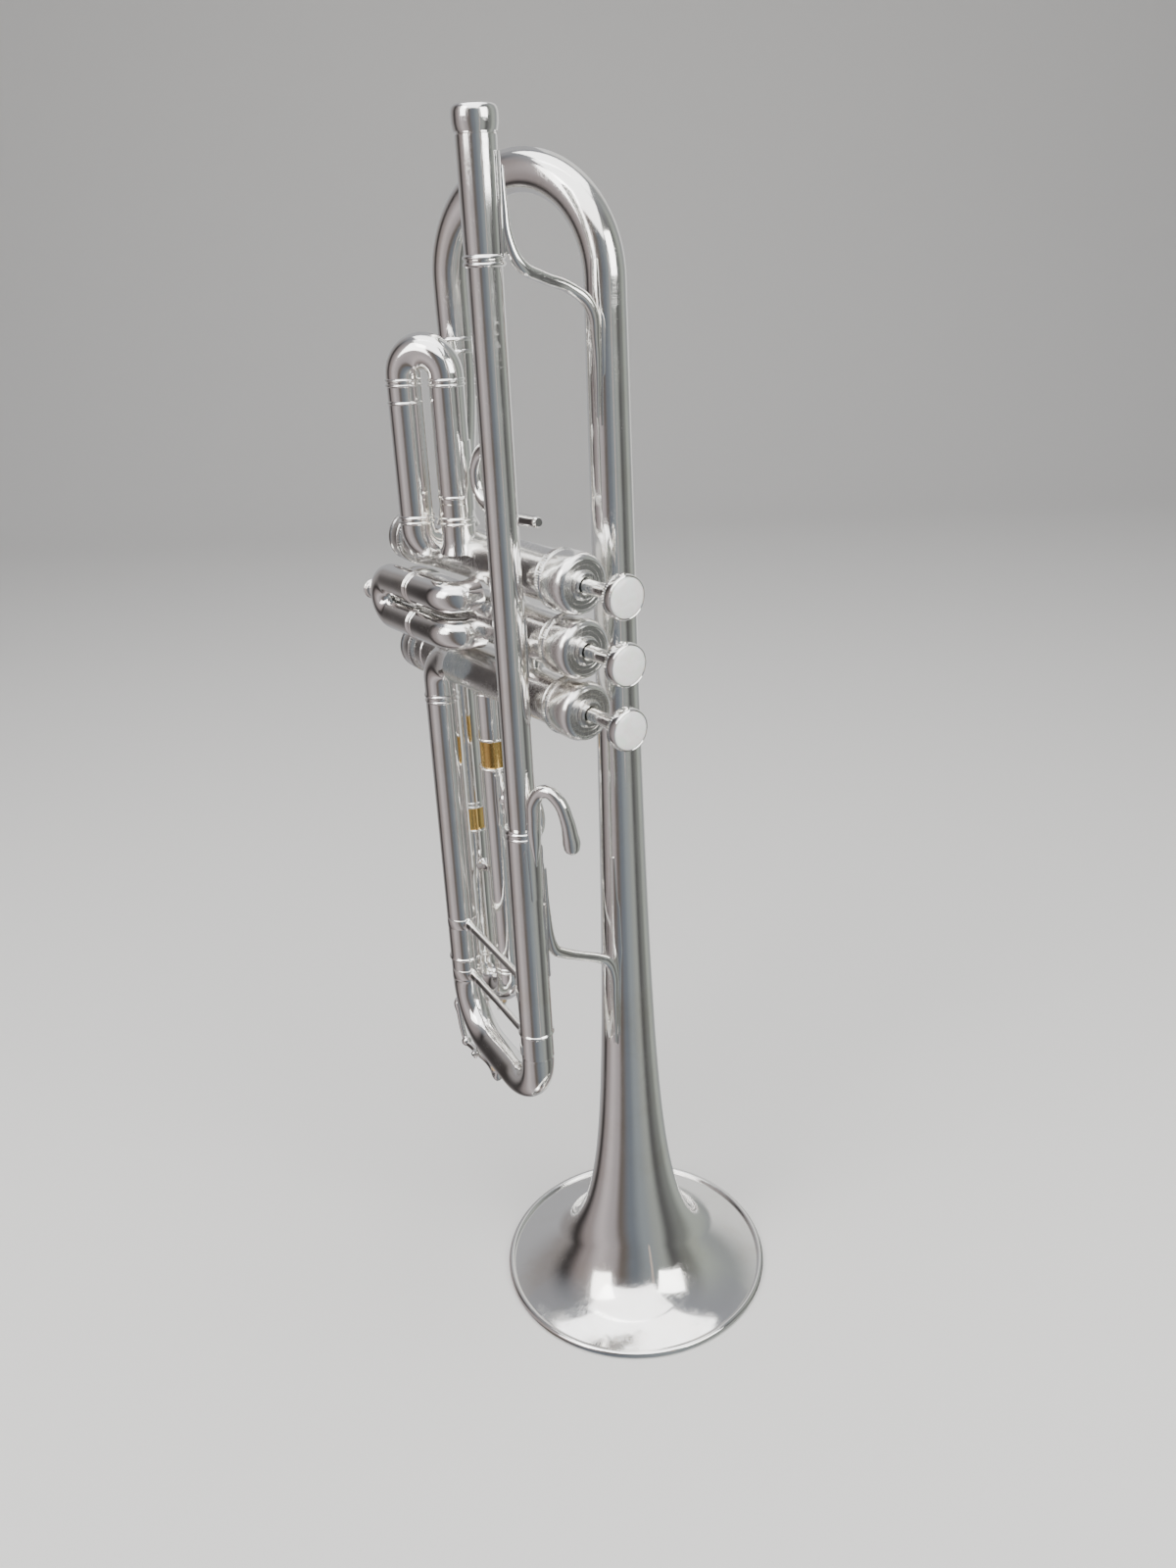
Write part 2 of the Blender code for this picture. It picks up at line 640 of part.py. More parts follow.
def build_piston(number, z):
    empty = joint_empty(f"piston_axis_{number}", (PISTON_FOOT_X, VALVE_Y, z))
    length = PISTON_TOP_X - PISTON_FOOT_X
    edge = 0.8 * MM
    piston = [
        (0, length),
        (PISTON_RADIUS - edge, length),
        (PISTON_RADIUS, length - edge),
        (PISTON_RADIUS, edge),
        (PISTON_RADIUS - edge, 0),
        (0, 0),
    ]
    foot = (PISTON_FOOT_X, VALVE_Y, z)
    body = turned(f"piston_{number}", piston, NICKEL, base=foot, axis=ALONG)
    for passage in PASSAGES[number]:
        cut(body, passage)
    hang(body, empty)
    stem_length = BUTTON_TOP_X - PISTON_TOP_X - GAP
    under = BUTTON_UNDERSIDE_X - PISTON_TOP_X - GAP
    cup = 1.4 * MM
    stem = [
        (0, stem_length - cup),
        (PEARL_RADIUS + GAP, stem_length - cup),
        (PEARL_RADIUS + GAP, stem_length),
        (BUTTON_RADIUS - 0.5 * MM, stem_length),
        (BUTTON_RADIUS, stem_length - 0.6 * MM),
        (BUTTON_RADIUS, under + cup),
        (BUTTON_RADIUS - 2 * MM, under),
        (STEM_RADIUS, under),
        (STEM_RADIUS, 0),
        (0, 0),
    ]
    base = (PISTON_TOP_X + GAP, VALVE_Y, z)
    hang(turned(f"finger_button_{number}", stem, SILVER, base=base, axis=ALONG, steps=16), empty)
    pearl = [
        (0, 1.5 * MM),
        (PEARL_RADIUS - 1.2 * MM, 1.25 * MM),
        (PEARL_RADIUS, 0.7 * MM),
        (PEARL_RADIUS, 0),
        (0, 0),
    ]
    base = (BUTTON_TOP_X - cup + GAP, VALVE_Y, z)
    hang(turned(f"pearl_{number}", pearl, PEARL, base=base, axis=ALONG, steps=16), empty)
    felt_base = (BUTTON_UNDERSIDE_X - GAP - FELT_THICKNESS, VALVE_Y, z)
    felt = [
        (FELT_RADIUS, FELT_THICKNESS),
        (FELT_RADIUS, 0),
        (STEM_RADIUS + GAP, 0),
        (STEM_RADIUS + GAP, FELT_THICKNESS),
    ]
    hang(turned(f"button_felt_{number}", felt, FELT, base=felt_base, axis=ALONG, steps=12), empty)


def build_bridges():
    """The short knuckles that join one casing to the next."""
    inset = 5 * MM
    for name, x in BRIDGE_X.items():
        first = int(name[0])
        high = (x, VALVE_Y, valve_z(first) - inset)
        low = (x, VALVE_Y, valve_z(first + 1) + inset)
        knuckle = pipe(f"casing_knuckle_{name}", [high, low], VALVE_TUBE_RADIUS, SILVER, PORT_RADIUS)
        cut(knuckle, CASING_CUTTERS[first])
        cut(knuckle, CASING_CUTTERS[first + 1])


def casing_cutters():
    """Rods a little fatter than each casing, which give the tubes on it a fitted end."""
    middle = (CASING_TOP_X + CASING_FOOT_X) / 2
    length = CASING_TOP_X - CASING_FOOT_X + 20 * MM
    radius = CASING_RADIUS + GAP
    return {
        n: rod_cutter(f"casing_space_{n}", (middle, VALVE_Y, valve_z(n)), ALONG, radius, length)
        for n in (1, 2, 3)
    }


def port_cutters():
    """The holes in each casing's wall, one for each tube that meets it."""
    reach = 8 * MM
    rise = reach + 3 * MM
    places = {
        1: [
            (TAIL_X, -26 * MM, valve_z(1) + rise),
            (BRIDGE_X["1_2"], VALVE_Y, valve_z(1) - rise),
        ],
        2: [
            (BRIDGE_X["1_2"], VALVE_Y, valve_z(2) + rise),
            (BRIDGE_X["2_3"], VALVE_Y, valve_z(2) - rise),
        ],
        3: [
            (BRIDGE_X["2_3"], VALVE_Y, valve_z(3) + rise),
            (THIRD_B_X + 1 * MM, VALVE_Y, valve_z(3) - rise),
        ],
    }
    return {
        n: [
            rod_cutter(f"port_{n}_{i}", spot, UP, PORT_RADIUS, 2 * reach)
            for i, spot in enumerate(spots)
        ]
        for n, spots in places.items()
    }


def passage_cutters():
    """The two passages through each piston."""
    places = [PISTON_FOOT_X + PASSAGE_FIRST, PISTON_FOOT_X + PASSAGE_FIRST + PASSAGE_SPACING]
    length = 4 * PISTON_RADIUS
    return {
        n: [
            rod_cutter(f"passage_{n}_{i}", (x, VALVE_Y, valve_z(n)), UP, PASSAGE_RADIUS, length)
            for i, x in enumerate(places)
        ]
        for n in (1, 2, 3)
    }


def column(xy, heights):
    return [Vector((*xy, z)) for z in heights]


def build_first_slide():
    ring = VALVE_TUBE_RADIUS + RING_RISE
    ring_top = FIRST_RING_Z + RING_WIDTH
    tube, bore, inner = VALVE_TUBE_RADIUS, VALVE_TUBE_BORE, INNER_TUBE_RADIUS
    bend = VALVE_TUBE_BEND
    centre = (FIRST_A[0], FIRST_A[1] + bend, FIRST_BEND_Z)
    turn = arc(centre, (0, -1, 0), -UP, bend, 0, 90, 5)
    last = turn[-1] + Vector((0, 5 * MM, 0))
    heights = [FIRST_A_END_Z, ring_top, ring_top - STEP, FIRST_RING_Z]
    route = column(FIRST_A, heights) + turn[1:] + [last]
    radii = [tube, tube, ring, ring] + [tube] * len(turn)
    bores = [bore] * len(heights) + [INNER_TUBE_BORE] * len(turn)
    cut(pipe("first_slide_sleeve", route, radii, SILVER, bores), CASING_CUTTERS[1])
    heights = [
        FIRST_CROOK_Z - 4 * MM,
        FIRST_B_END_Z,
        FIRST_B_END_Z - STEP,
        ring_top,
        ring_top - STEP,
        FIRST_RING_Z,
        FIRST_RING_Z - STEP,
        FIRST_B_FOOT_Z,
    ]
    radii = [inner, inner, tube, tube, ring, ring, tube, tube]
    route = column(FIRST_B, heights)
    cut(pipe("first_slide_inner_tube", route, radii, SILVER, INNER_TUBE_BORE), CASING_CUTTERS[1])
    empty = joint_empty("first_slide_axis", (*FIRST_A, FIRST_A_END_Z))
    a, b = Vector((*FIRST_A, 0)), Vector((*FIRST_B, 0))
    middle = (a + b) / 2 + UP * FIRST_CROOK_Z
    bow = arc(middle, a - b, UP, (a - b).length / 2, 0, 180, 8)
    leg_a = column(FIRST_A, [ring_top + 1 * MM, FIRST_A_END_Z + GAP, FIRST_A_END_Z + 2 * GAP])
    leg_b = column(FIRST_B, [FIRST_CROOK_Z - 2 * MM, FIRST_B_END_Z + GAP])
    radii = [inner, inner, tube] + [tube] * (len(bow) + len(leg_b))
    bores = [INNER_TUBE_BORE] * (len(leg_a) + len(bow)) + [bore] * len(leg_b)
    hang(pipe("first_valve_slide", leg_a + bow + leg_b, radii, SILVER, bores), empty)
    saddle = smooth_route(
        [
            (-26 * MM, SADDLE_Y, 385 * MM),
            (-32 * MM, SADDLE_Y, 384.5 * MM),
            (-37.5 * MM, SADDLE_Y, 380 * MM),
            (-39.5 * MM, SADDLE_Y, 372.5 * MM),
            (-36 * MM, SADDLE_Y, 365 * MM),
            (-26 * MM, SADDLE_Y, 361.5 * MM),
            (-12 * MM, SADDLE_Y, 361 * MM),
            (0, SADDLE_Y, 361.5 * MM),
        ],
        3,
    )
    hang(pipe("thumb_saddle", saddle, SADDLE_ROD, SILVER, sides=8), empty)


def build_second_slide():
    tube, bore, inner = VALVE_TUBE_RADIUS - 0.2 * MM, VALVE_TUBE_BORE, INNER_TUBE_RADIUS
    bend = VALVE_TUBE_BEND
    for name, z in zip(("lower", "upper"), SECOND_Z):
        centre = (SECOND_BEND_X - bend, SECOND_Y + bend, z)
        turn = arc(centre, ALONG, (0, -1, 0), bend, 0, 90, 5)
        start = turn[0] + Vector((0, 4 * MM, 0))
        end = Vector((SECOND_END_X, SECOND_Y, z))
        sleeve = pipe(f"second_slide_sleeve_{name}", [start, *turn, end], tube, SILVER, bore)
        for cutter in CASING_CUTTERS.values():
            cut(sleeve, cutter)
    low, high = SECOND_Z
    middle_z = (low + high) / 2
    empty = joint_empty("second_slide_axis", (SECOND_END_X, SECOND_Y, middle_z))
    middle = (SECOND_CROOK_X, SECOND_Y, middle_z)
    bow = arc(middle, -UP, -ALONG, (high - low) / 2, 0, 180, 8)
    collar = SECOND_END_X - GAP
    inside = SECOND_BEND_X - bend - 3 * MM
    legs = [inside, collar, collar - GAP]
    leg_low = [Vector((x, SECOND_Y, low)) for x in legs]
    leg_high = [Vector((x, SECOND_Y, high)) for x in reversed(legs)]
    radii = [inner, inner] + [tube] * (len(bow) + 2) + [inner, inner]
    hang(pipe("second_valve_slide", leg_low + bow + leg_high, radii, SILVER, INNER_TUBE_BORE), empty)
    crook_end = SECOND_CROOK_X - (high - low) / 2 - tube
    length = crook_end - GAP - KNOB_END_X
    neck, head = 1.6 * MM, 3.6 * MM
    knob = [
        (0, length),
        (2 * MM, length),
        (neck, length - 1.5 * MM),
        (head, length - 2.6 * MM),
        (head, 0.6 * MM),
        (3 * MM, 0),
        (0, 0),
    ]
    base = (KNOB_END_X, SECOND_Y, middle_z)
    pull_knob = turned("second_slide_knob", knob, SILVER, base=base, axis=ALONG, steps=SMALL_STEPS)
    hang(pull_knob, empty)


def build_third_slide():
    tube, bore, inner = VALVE_TUBE_RADIUS, VALVE_TUBE_BORE, INNER_TUBE_RADIUS
    top = valve_z(3) - 3 * MM
    a, b = (THIRD_A_X, THIRD_Y), (THIRD_B_X, THIRD_Y)
    route = column(a, [top, THIRD_A_END_Z, THIRD_A_END_Z - STEP, THIRD_A_FOOT_Z])
    radii = [tube, tube, inner, inner]
    cut(pipe("third_slide_inner_tube", route, radii, BRASS, INNER_TUBE_BORE), CASING_CUTTERS[3])
    route = column(b, [top, THIRD_B_END_Z])
    cut(pipe("third_slide_sleeve", route, tube, SILVER, bore), CASING_CUTTERS[3])
    empty = joint_empty("third_slide_axis", (THIRD_B_X, THIRD_Y, THIRD_B_END_Z))
    middle = ((THIRD_A_X + THIRD_B_X) / 2, THIRD_Y, THIRD_CROOK_Z)
    bow = arc(middle, -ALONG, -UP, (THIRD_A_X - THIRD_B_X) / 2, 0, 180, 8)
    leg_b = column(b, [THIRD_INNER_TOP_Z, THIRD_B_SLIDE_Z + STEP, THIRD_B_SLIDE_Z])
    leg_a = column(a, [THIRD_BORE_Z, THIRD_A_SLIDE_Z])
    radii = [inner, inner, tube] + [tube] * (len(bow) + len(leg_a))
    bores = [INNER_TUBE_BORE] * (len(leg_b) + len(bow)) + [bore] * len(leg_a)
    hang(pipe("third_valve_slide", leg_b + bow + leg_a, radii, SILVER, bores), empty)
    spots = (*b, THIRD_BRACE_Z), (*a, THIRD_BRACE_Z)
    hang(build_brace("third_slide_brace", *spots, tube, tube), empty)
    hang(build_finger_ring(THIRD_A_X + tube + GAP + RING_WIRE + RING_RADIUS), empty)


def build_finger_ring(x):
    """The ring that the third slide is moved by."""
    mesh = bpy.data.meshes.new("finger_ring")
    ring = bpy.data.objects.new("finger_ring", mesh)
    bm = bmesh.new()
    circle = bmesh.ops.create_circle(bm, segments=8, radius=RING_WIRE)
    for vert in circle["verts"]:
        vert.co = Vector((vert.co.x + RING_RADIUS, 0, vert.co.y))
    bmesh.ops.spin(
        bm, geom=bm.verts[:] + bm.edges[:], axis=UP, cent=(0, 0, 0), angle=2 * pi, steps=24
    )
    bmesh.ops.remove_doubles(bm, verts=bm.verts, dist=0.000001)
    bmesh.ops.recalc_face_normals(bm, faces=bm.faces)
    bm.to_mesh(mesh)
    bm.free()
    mesh.shade_smooth()
    ring.rotation_euler = (pi / 2, 0, 0)
    ring.location = (x, THIRD_Y, RING_Z)
    return place(ring, SILVER)


def build_water_key(name, route, radii, pivot, cork_base, post, parent):
    """A rocking lever with a cork at its end, hinged on pivot, and the post that carries it.

    The post is given by the heights of its two ends above the pivot.
    """
    empty = joint_empty(name + "_axis", pivot)
    hang(pipe(name + "_lever", route, radii, SILVER, sides=8), empty)
    radius, height = KEY_CORK_RADIUS, KEY_CORK_THICKNESS
    cork = [(0, height), (radius, height), (radius, 0), (0, 0)]
    hang(turned(name + "_cork", cork, CORK, base=cork_base, steps=SMALL_STEPS), empty)
    empty.parent = parent
    empty.location = empty.location - parent.location
    foot, top = post
    radius, height = KEY_POST_RADIUS, top - foot
    profile = [(0, height), (radius, height), (radius, 0), (0, 0)]
    base = Vector(pivot) + UP * foot
    hang(turned(name + "_post", profile, SILVER, base=base, steps=SMALL_STEPS), parent)


def build_water_keys():
    x, y, z = MAIN_KEY_PIVOT
    lever = smooth_route(
        [
            (x - 24 * MM, y, z + 22 * MM),
            (x - 22.5 * MM, y, z + 12 * MM),
            (x - 16 * MM, y, z + 3 * MM),
            (x - 6 * MM, y, z - 0.3 * MM),
            (x + 6 * MM, y, z),
            (x + 19 * MM, y - 2 * MM, z + 0.8 * MM),
        ],
        3,
    )
    button = 2.4 * MM
    radii = [button] + [MAIN_KEY_ROD] * (len(lever) - 1)
    cork = (x + 18 * MM, y - 2 * MM, z + 2.7 * MM)
    main_slide = bpy.data.objects["main_slide_axis"]
    build_water_key("main_key", lever, radii, MAIN_KEY_PIVOT, cork, MAIN_KEY_POST, main_slide)
    third_slide = bpy.data.objects["third_slide_axis"]
    bend = (THIRD_A_X - THIRD_B_X) / 2
    bottom = THIRD_CROOK_Z - bend - VALVE_TUBE_RADIUS
    pivot = (THIRD_B_X + bend - 6 * MM, THIRD_Y, bottom - THIRD_KEY_DROP)
    x, y, z = pivot
    lever = smooth_route(
        [
            (x - 8 * MM, y, z + 6.5 * MM),
            (x - 5 * MM, y, z + 1.5 * MM),
            (x + 1 * MM, y, z),
            (x + 9 * MM, y, z),
        ],
        3,
    )
    radii = [THIRD_KEY_ROD] * len(lever)
    cork = (x + 7 * MM, y, z + 1.7 * MM)
    build_water_key("third_key", lever, radii, pivot, cork, THIRD_KEY_POST, third_slide)


PARTS, CUTTERS, FRAME = start_scene()
CASING_CUTTERS = casing_cutters()
PORTS = port_cutters()
PASSAGES = passage_cutters()

build_bell()
build_bow()
build_leadpipe()
build_slide_sleeves()
build_main_slide()
build_fixed_braces()
build_pinky_hook()
for valve in (1, 2, 3):
    build_valve(valve)
build_bridges()
build_first_slide()
build_second_slide()
build_third_slide()
build_water_keys()
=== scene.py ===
from math import cos, pi, radians, sin

import bpy
from mathutils import Matrix, Vector


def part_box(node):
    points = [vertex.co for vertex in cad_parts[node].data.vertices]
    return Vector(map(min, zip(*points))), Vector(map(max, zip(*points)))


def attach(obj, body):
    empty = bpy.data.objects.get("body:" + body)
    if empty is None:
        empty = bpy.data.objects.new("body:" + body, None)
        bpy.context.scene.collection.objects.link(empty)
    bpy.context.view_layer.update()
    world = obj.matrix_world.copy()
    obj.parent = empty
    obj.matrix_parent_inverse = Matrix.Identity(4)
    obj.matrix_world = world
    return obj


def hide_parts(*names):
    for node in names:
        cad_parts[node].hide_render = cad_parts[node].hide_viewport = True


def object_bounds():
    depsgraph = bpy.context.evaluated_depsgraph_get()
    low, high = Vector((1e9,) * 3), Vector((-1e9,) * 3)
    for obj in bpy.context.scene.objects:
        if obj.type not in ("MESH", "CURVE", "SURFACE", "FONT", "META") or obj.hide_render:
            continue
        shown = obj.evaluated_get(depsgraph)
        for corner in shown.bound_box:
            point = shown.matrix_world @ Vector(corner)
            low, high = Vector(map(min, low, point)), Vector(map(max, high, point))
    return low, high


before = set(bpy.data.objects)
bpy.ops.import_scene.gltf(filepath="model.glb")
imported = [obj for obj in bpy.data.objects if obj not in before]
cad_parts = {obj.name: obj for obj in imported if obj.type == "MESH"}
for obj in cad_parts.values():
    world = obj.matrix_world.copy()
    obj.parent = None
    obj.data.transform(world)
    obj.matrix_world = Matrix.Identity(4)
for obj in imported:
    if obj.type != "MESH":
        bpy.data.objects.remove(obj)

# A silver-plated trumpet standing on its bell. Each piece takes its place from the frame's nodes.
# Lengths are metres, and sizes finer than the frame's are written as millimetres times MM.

MM = 0.001
UP = Vector((0, 0, 1))
ALONG = Vector((1, 0, 0))
ROUND = 56
CAD_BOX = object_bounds()

# The bell and its flare, from the mouth upwards
BELL_WALL = 0.8 * MM
BEAD = 1.6 * MM
FLARE_LENGTH = 8 * MM
FLARE_POWER = 0.67
THROAT = 3.6 * MM

# Tube radii and other sizes that several pieces share
CASING_BORE = 8.75 * MM
BALL = 2.5 * MM
SLEEVE = 6.95 * MM
CROOK = 6.9 * MM
VALVE_TUBE = 6.5 * MM
INNER_TUBE = 5.7 * MM
PLATE = 0.7 * MM

CAMERA_SPOT = (0.37675, -0.2765, 0.4481)
CAMERA_HEADING = 53.62
CAMERA_TILT = 66.3
CAMERA_ROLL = -2.48
CAMERA_LENS = 27.79

# What polished metal sees around it: bearing from the camera in degrees, positive to its right, and colour.
# The world lights with these bands, and the floor glows with them as painted reflections.
ROOM_BANDS = (
    (-180, (0.45, 0.45, 0.47)),
    (-152, (0.45, 0.45, 0.47)),
    (-128, (0.30, 0.28, 0.28)),
    (-108, (0.05, 0.045, 0.045)),
    (-86, (0.32, 0.28, 0.28)),
    (-62, (0.60, 0.54, 0.55)),
    (-40, (0.42, 0.38, 0.39)),
    (-24, (0.15, 0.13, 0.12)),
    (-4, (0.17, 0.19, 0.22)),
    (20, (0.29, 0.32, 0.34)),
    (44, (0.36, 0.38, 0.36)),
    (62, (0.11, 0.11, 0.11)),
    (84, (0.20, 0.21, 0.20)),
    (104, (0.42, 0.45, 0.41)),
    (128, (0.34, 0.36, 0.36)),
    (154, (0.95, 0.95, 0.93)),
    (180, (1, 1, 1)),
)


# Places taken from the frame
def low(node):
    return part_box(node)[0]


def high(node):
    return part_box(node)[1]


def centre(node):
    return (low(node) + high(node)) / 2


def radius_of(node):
    """Half the width of an upright tube."""
    return (high(node).x - low(node).x) / 2


def column(node, z):
    """The point on an upright tube's axis at a height."""
    middle = centre(node)
    return Vector((middle.x, middle.y, z))


# Shader node helpers
def node(tree, kind, inputs=None, **settings):
    """A new node, with values or links for its inputs."""
    made = tree.nodes.new(kind)
    for name, value in settings.items():
        setattr(made, name, value)
    for name, value in (inputs or {}).items():
        if isinstance(value, bpy.types.NodeSocket):
            tree.links.new(value, made.inputs[name])
        else:
            made.inputs[name].default_value = value
    return made


def math_node(tree, operation, a, b=0.0):
    return node(tree, "ShaderNodeMath", {0: a, 1: b}, operation=operation).outputs[0]


def ramp(tree, value, start, end):
    """0 below start and 1 above end, smoothly."""
    inputs = {"Value": value, "From Min": start, "From Max": end}
    made = node(tree, "ShaderNodeMapRange", inputs, interpolation_type="SMOOTHSTEP", clamp=True)
    return made.outputs["Result"]


def blend_colour(tree, share, first, second):
    made = node(tree, "ShaderNodeMix", data_type="RGBA")
    for socket, value in ((made.inputs[0], share), (made.inputs[6], first), (made.inputs[7], second)):
        if isinstance(value, bpy.types.NodeSocket):
            tree.links.new(value, socket)
        elif isinstance(value, (tuple, list)):
            socket.default_value = (*value, 1)
        else:
            socket.default_value = value
    return made.outputs[2]


def noise(tree, place, scale, **more):
    inputs = {"Vector": place, "Scale": scale, **more}
    return node(tree, "ShaderNodeTexNoise", inputs).outputs["Fac"]


def new_group(name, inputs, outputs):
    """An empty shader node group with number inputs, and its input and output nodes."""
    group = bpy.data.node_groups.new(name, "ShaderNodeTree")
    for label, value in inputs:
        socket = group.interface.new_socket(name=label, in_out="INPUT", socket_type="NodeSocketFloat")
        socket.default_value = value
    for label in outputs:
        group.interface.new_socket(name=label, in_out="OUTPUT", socket_type="NodeSocketFloat")
    return group, group.nodes.new("NodeGroupInput"), group.nodes.new("NodeGroupOutput")


def use_group(tree, group, **values):
    made = tree.nodes.new("ShaderNodeGroup")
    made.node_tree = group
    for label, value in values.items():
        made.inputs[label].default_value = value
    return made


def object_place(tree, stretch=(1, 1, 1), turn=(0, 0, 0)):
    """Object coordinates, stretched or turned."""
    coordinates = node(tree, "ShaderNodeTexCoord").outputs["Object"]
    inputs = {"Vector": coordinates, "Scale": stretch, "Rotation": turn}
    return node(tree, "ShaderNodeMapping", inputs).outputs["Vector"]


def cloudy_film_group():
    """Soft drifting patches, for tarnish that the polishing cloth has left."""
    group, start, end = new_group("cloudy_film", [("Scale", 40), ("Amount", 0.5)], ["Mask"])
    cloud = noise(group, object_place(group), start.outputs["Scale"], Detail=6, Roughness=0.6)
    mask = math_node(group, "MULTIPLY", ramp(group, cloud, 0.45, 0.72), start.outputs["Amount"])
    group.links.new(mask, end.inputs["Mask"])
    return group


def hairline_group():
    """Fine scratches in two directions, as a polishing cloth leaves them."""
    group, start, end = new_group("hairlines", [("Scale", 900), ("Width", 0.02)], ["Lines"])
    lines = None
    for turn, stretch in (((0.5, 0.2, 0.4), (1, 1, 0.06)), ((1.9, 0.7, 1.3), (1, 0.05, 1))):
        place = object_place(group, stretch, turn)
        grain = noise(group, place, start.outputs["Scale"], Detail=2, Distortion=0.4)
        distance = math_node(group, "ABSOLUTE", math_node(group, "SUBTRACT", grain, 0.5))
        line = math_node(group, "LESS_THAN", distance, start.outputs["Width"])
        lines = line if lines is None else math_node(group, "MAXIMUM", lines, line)
    where = ramp(group, noise(group, object_place(group), 55, Detail=3), 0.42, 0.6)
    group.links.new(math_node(group, "MULTIPLY", lines, where), end.inputs["Lines"])
    return group


def smear_group():
    """Fingertip smears: broad soft patches that hold a finer grain."""
    group, start, end = new_group("smears", [("Scale", 70), ("Amount", 1)], ["Mask"])
    broad = noise(group, object_place(group, (1, 1, 0.6)), start.outputs["Scale"], Detail=3)
    broad = ramp(group, broad, 0.5, 0.68)
    fine = ramp(group, noise(group, object_place(group), 1600, Detail=3, Roughness=0.7), 0.35, 0.7)
    both = math_node(group, "MULTIPLY", broad, fine)
    mask = math_node(group, "MULTIPLY", both, start.outputs["Amount"])
    group.links.new(mask, end.inputs["Mask"])
    return group


def new_material(name, slot):
    """A material with a Principled shader, the record's slot that it stands for, and its tree."""
    material = bpy.data.materials.new(name)
    material.use_nodes = True
    material["slot"] = slot
    return material, material.node_tree, material.node_tree.nodes["Principled BSDF"]


def bump(tree, shader, height, strength, distance):
    inputs = {"Height": height, "Strength": strength, "Distance": distance}
    tree.links.new(node(tree, "ShaderNodeBump", inputs).outputs["Normal"], shader.inputs["Normal"])


def plated(name, slot, clean, worn, polish, film=0.5, lines=0.1, smears=0.1):
    """Polished metal: a film that warms its colour, fine scratches and smears that dull its shine."""
    material, tree, shader = new_material(name, slot)
    cloud = use_group(tree, FILM, Scale=38, Amount=film).outputs["Mask"]
    scratch = use_group(tree, HAIRLINES, Scale=850, Width=0.012).outputs["Lines"]
    smear = use_group(tree, SMEARS, Scale=75, Amount=smears).outputs["Mask"]
    tree.links.new(blend_colour(tree, cloud, clean, worn), shader.inputs["Base Color"])
    dull = math_node(tree, "ADD", math_node(tree, "MULTIPLY", scratch, lines), smear)
    dull = math_node(tree, "ADD", dull, math_node(tree, "MULTIPLY", cloud, 0.08))
    tree.links.new(math_node(tree, "ADD", dull, polish), shader.inputs["Roughness"])
    shader.inputs["Metallic"].default_value = 1
    wave = noise(tree, object_place(tree), 110, Detail=1)
    height = math_node(tree, "SUBTRACT", wave, math_node(tree, "MULTIPLY", scratch, 0.15))
    bump(tree, shader, height, 0.35, 0.00005)
    return material


def brass_material():
    """Bare brass under a slide, with rings worn round it and darker stains."""
    material = plated("wiped_brass", "brass", (0.90, 0.62, 0.22), (0.55, 0.33, 0.10), 0.16, 0.6)
    tree = material.node_tree
    shader = tree.nodes["Principled BSDF"]
    rings = noise(tree, object_place(tree, (0.05, 0.05, 1)), 2400, Detail=2)
    bump(tree, shader, rings, 0.3, 0.00006)
    return material


def piston_material():
    """Nickel with the criss-cross of honing."""
    material = plated("honed_nickel", "nickel_silver", (0.76, 0.74, 0.70), (0.62, 0.58, 0.52), 0.22)
    tree = material.node_tree
    shader = tree.nodes["Principled BSDF"]
    height = None
    for turn in (0.6, -0.6):
        grain = noise(tree, object_place(tree, (1, 0.04, 1), (turn, 0, turn)), 1800)
        height = grain if height is None else math_node(tree, "ADD", height, grain)
    bump(tree, shader, height, 0.4, 0.00005)
    return material


def steel_material():
    """Drawn spring wire."""
    colours = ((0.62, 0.62, 0.63), (0.42, 0.40, 0.38))
    return plated("drawn_steel", "spring_steel", *colours, 0.28, 0.5, 0.2, 0.1)


def pearl_material():
    """Nacre: milky layers in curved bands, with a faint play of green and rose."""
    material, tree, shader = new_material("nacre", "mother_of_pearl")
    inputs = {"Vector": object_place(tree, (0.4, 1, 1), (0.3, 0.5, 0)), "Scale": 130, "Distortion": 9}
    inputs["Detail"] = 3
    bands = node(tree, "ShaderNodeTexWave", inputs).outputs["Fac"]
    drift = noise(tree, object_place(tree), 160, Detail=4, Distortion=1.5)
    milk = blend_colour(tree, bands, (0.94, 0.945, 0.90), (0.99, 0.99, 0.97))
    green = blend_colour(tree, ramp(tree, drift, 0.5, 0.75), milk, (0.88, 0.97, 0.87))
    rose = blend_colour(tree, ramp(tree, drift, 0.5, 0.22), green, (0.95, 0.86, 0.86))
    tree.links.new(rose, shader.inputs["Base Color"])
    shade = math_node(tree, "MULTIPLY", bands, 0.1)
    tree.links.new(math_node(tree, "ADD", shade, 0.16), shader.inputs["Roughness"])
    shader.inputs["Coat Weight"].default_value = 0.6
    shader.inputs["Coat Roughness"].default_value = 0.06
    shader.inputs["Subsurface Weight"].default_value = 0.15
    shader.inputs["Subsurface Scale"].default_value = 0.001
    bump(tree, shader, bands, 0.15, 0.00004)
    return material


def felt_material():
    """Pressed wool: short tangled fibres with small pits."""
    material, tree, shader = new_material("pressed_wool", "felt")
    fibres = noise(tree, object_place(tree), 2600, Detail=5, Distortion=2.5)
    inputs = {"Vector": object_place(tree), "Scale": 1400}
    pits = node(tree, "ShaderNodeTexVoronoi", inputs).outputs["Distance"]
    colour = blend_colour(tree, fibres, (0.70, 0.67, 0.62), (0.95, 0.93, 0.88))
    tree.links.new(colour, shader.inputs["Base Color"])
    shader.inputs["Roughness"].default_value = 0.95
    shader.inputs["Sheen Weight"].default_value = 0.4
    bump(tree, shader, math_node(tree, "ADD", fibres, pits), 0.7, 0.0001)
    return material


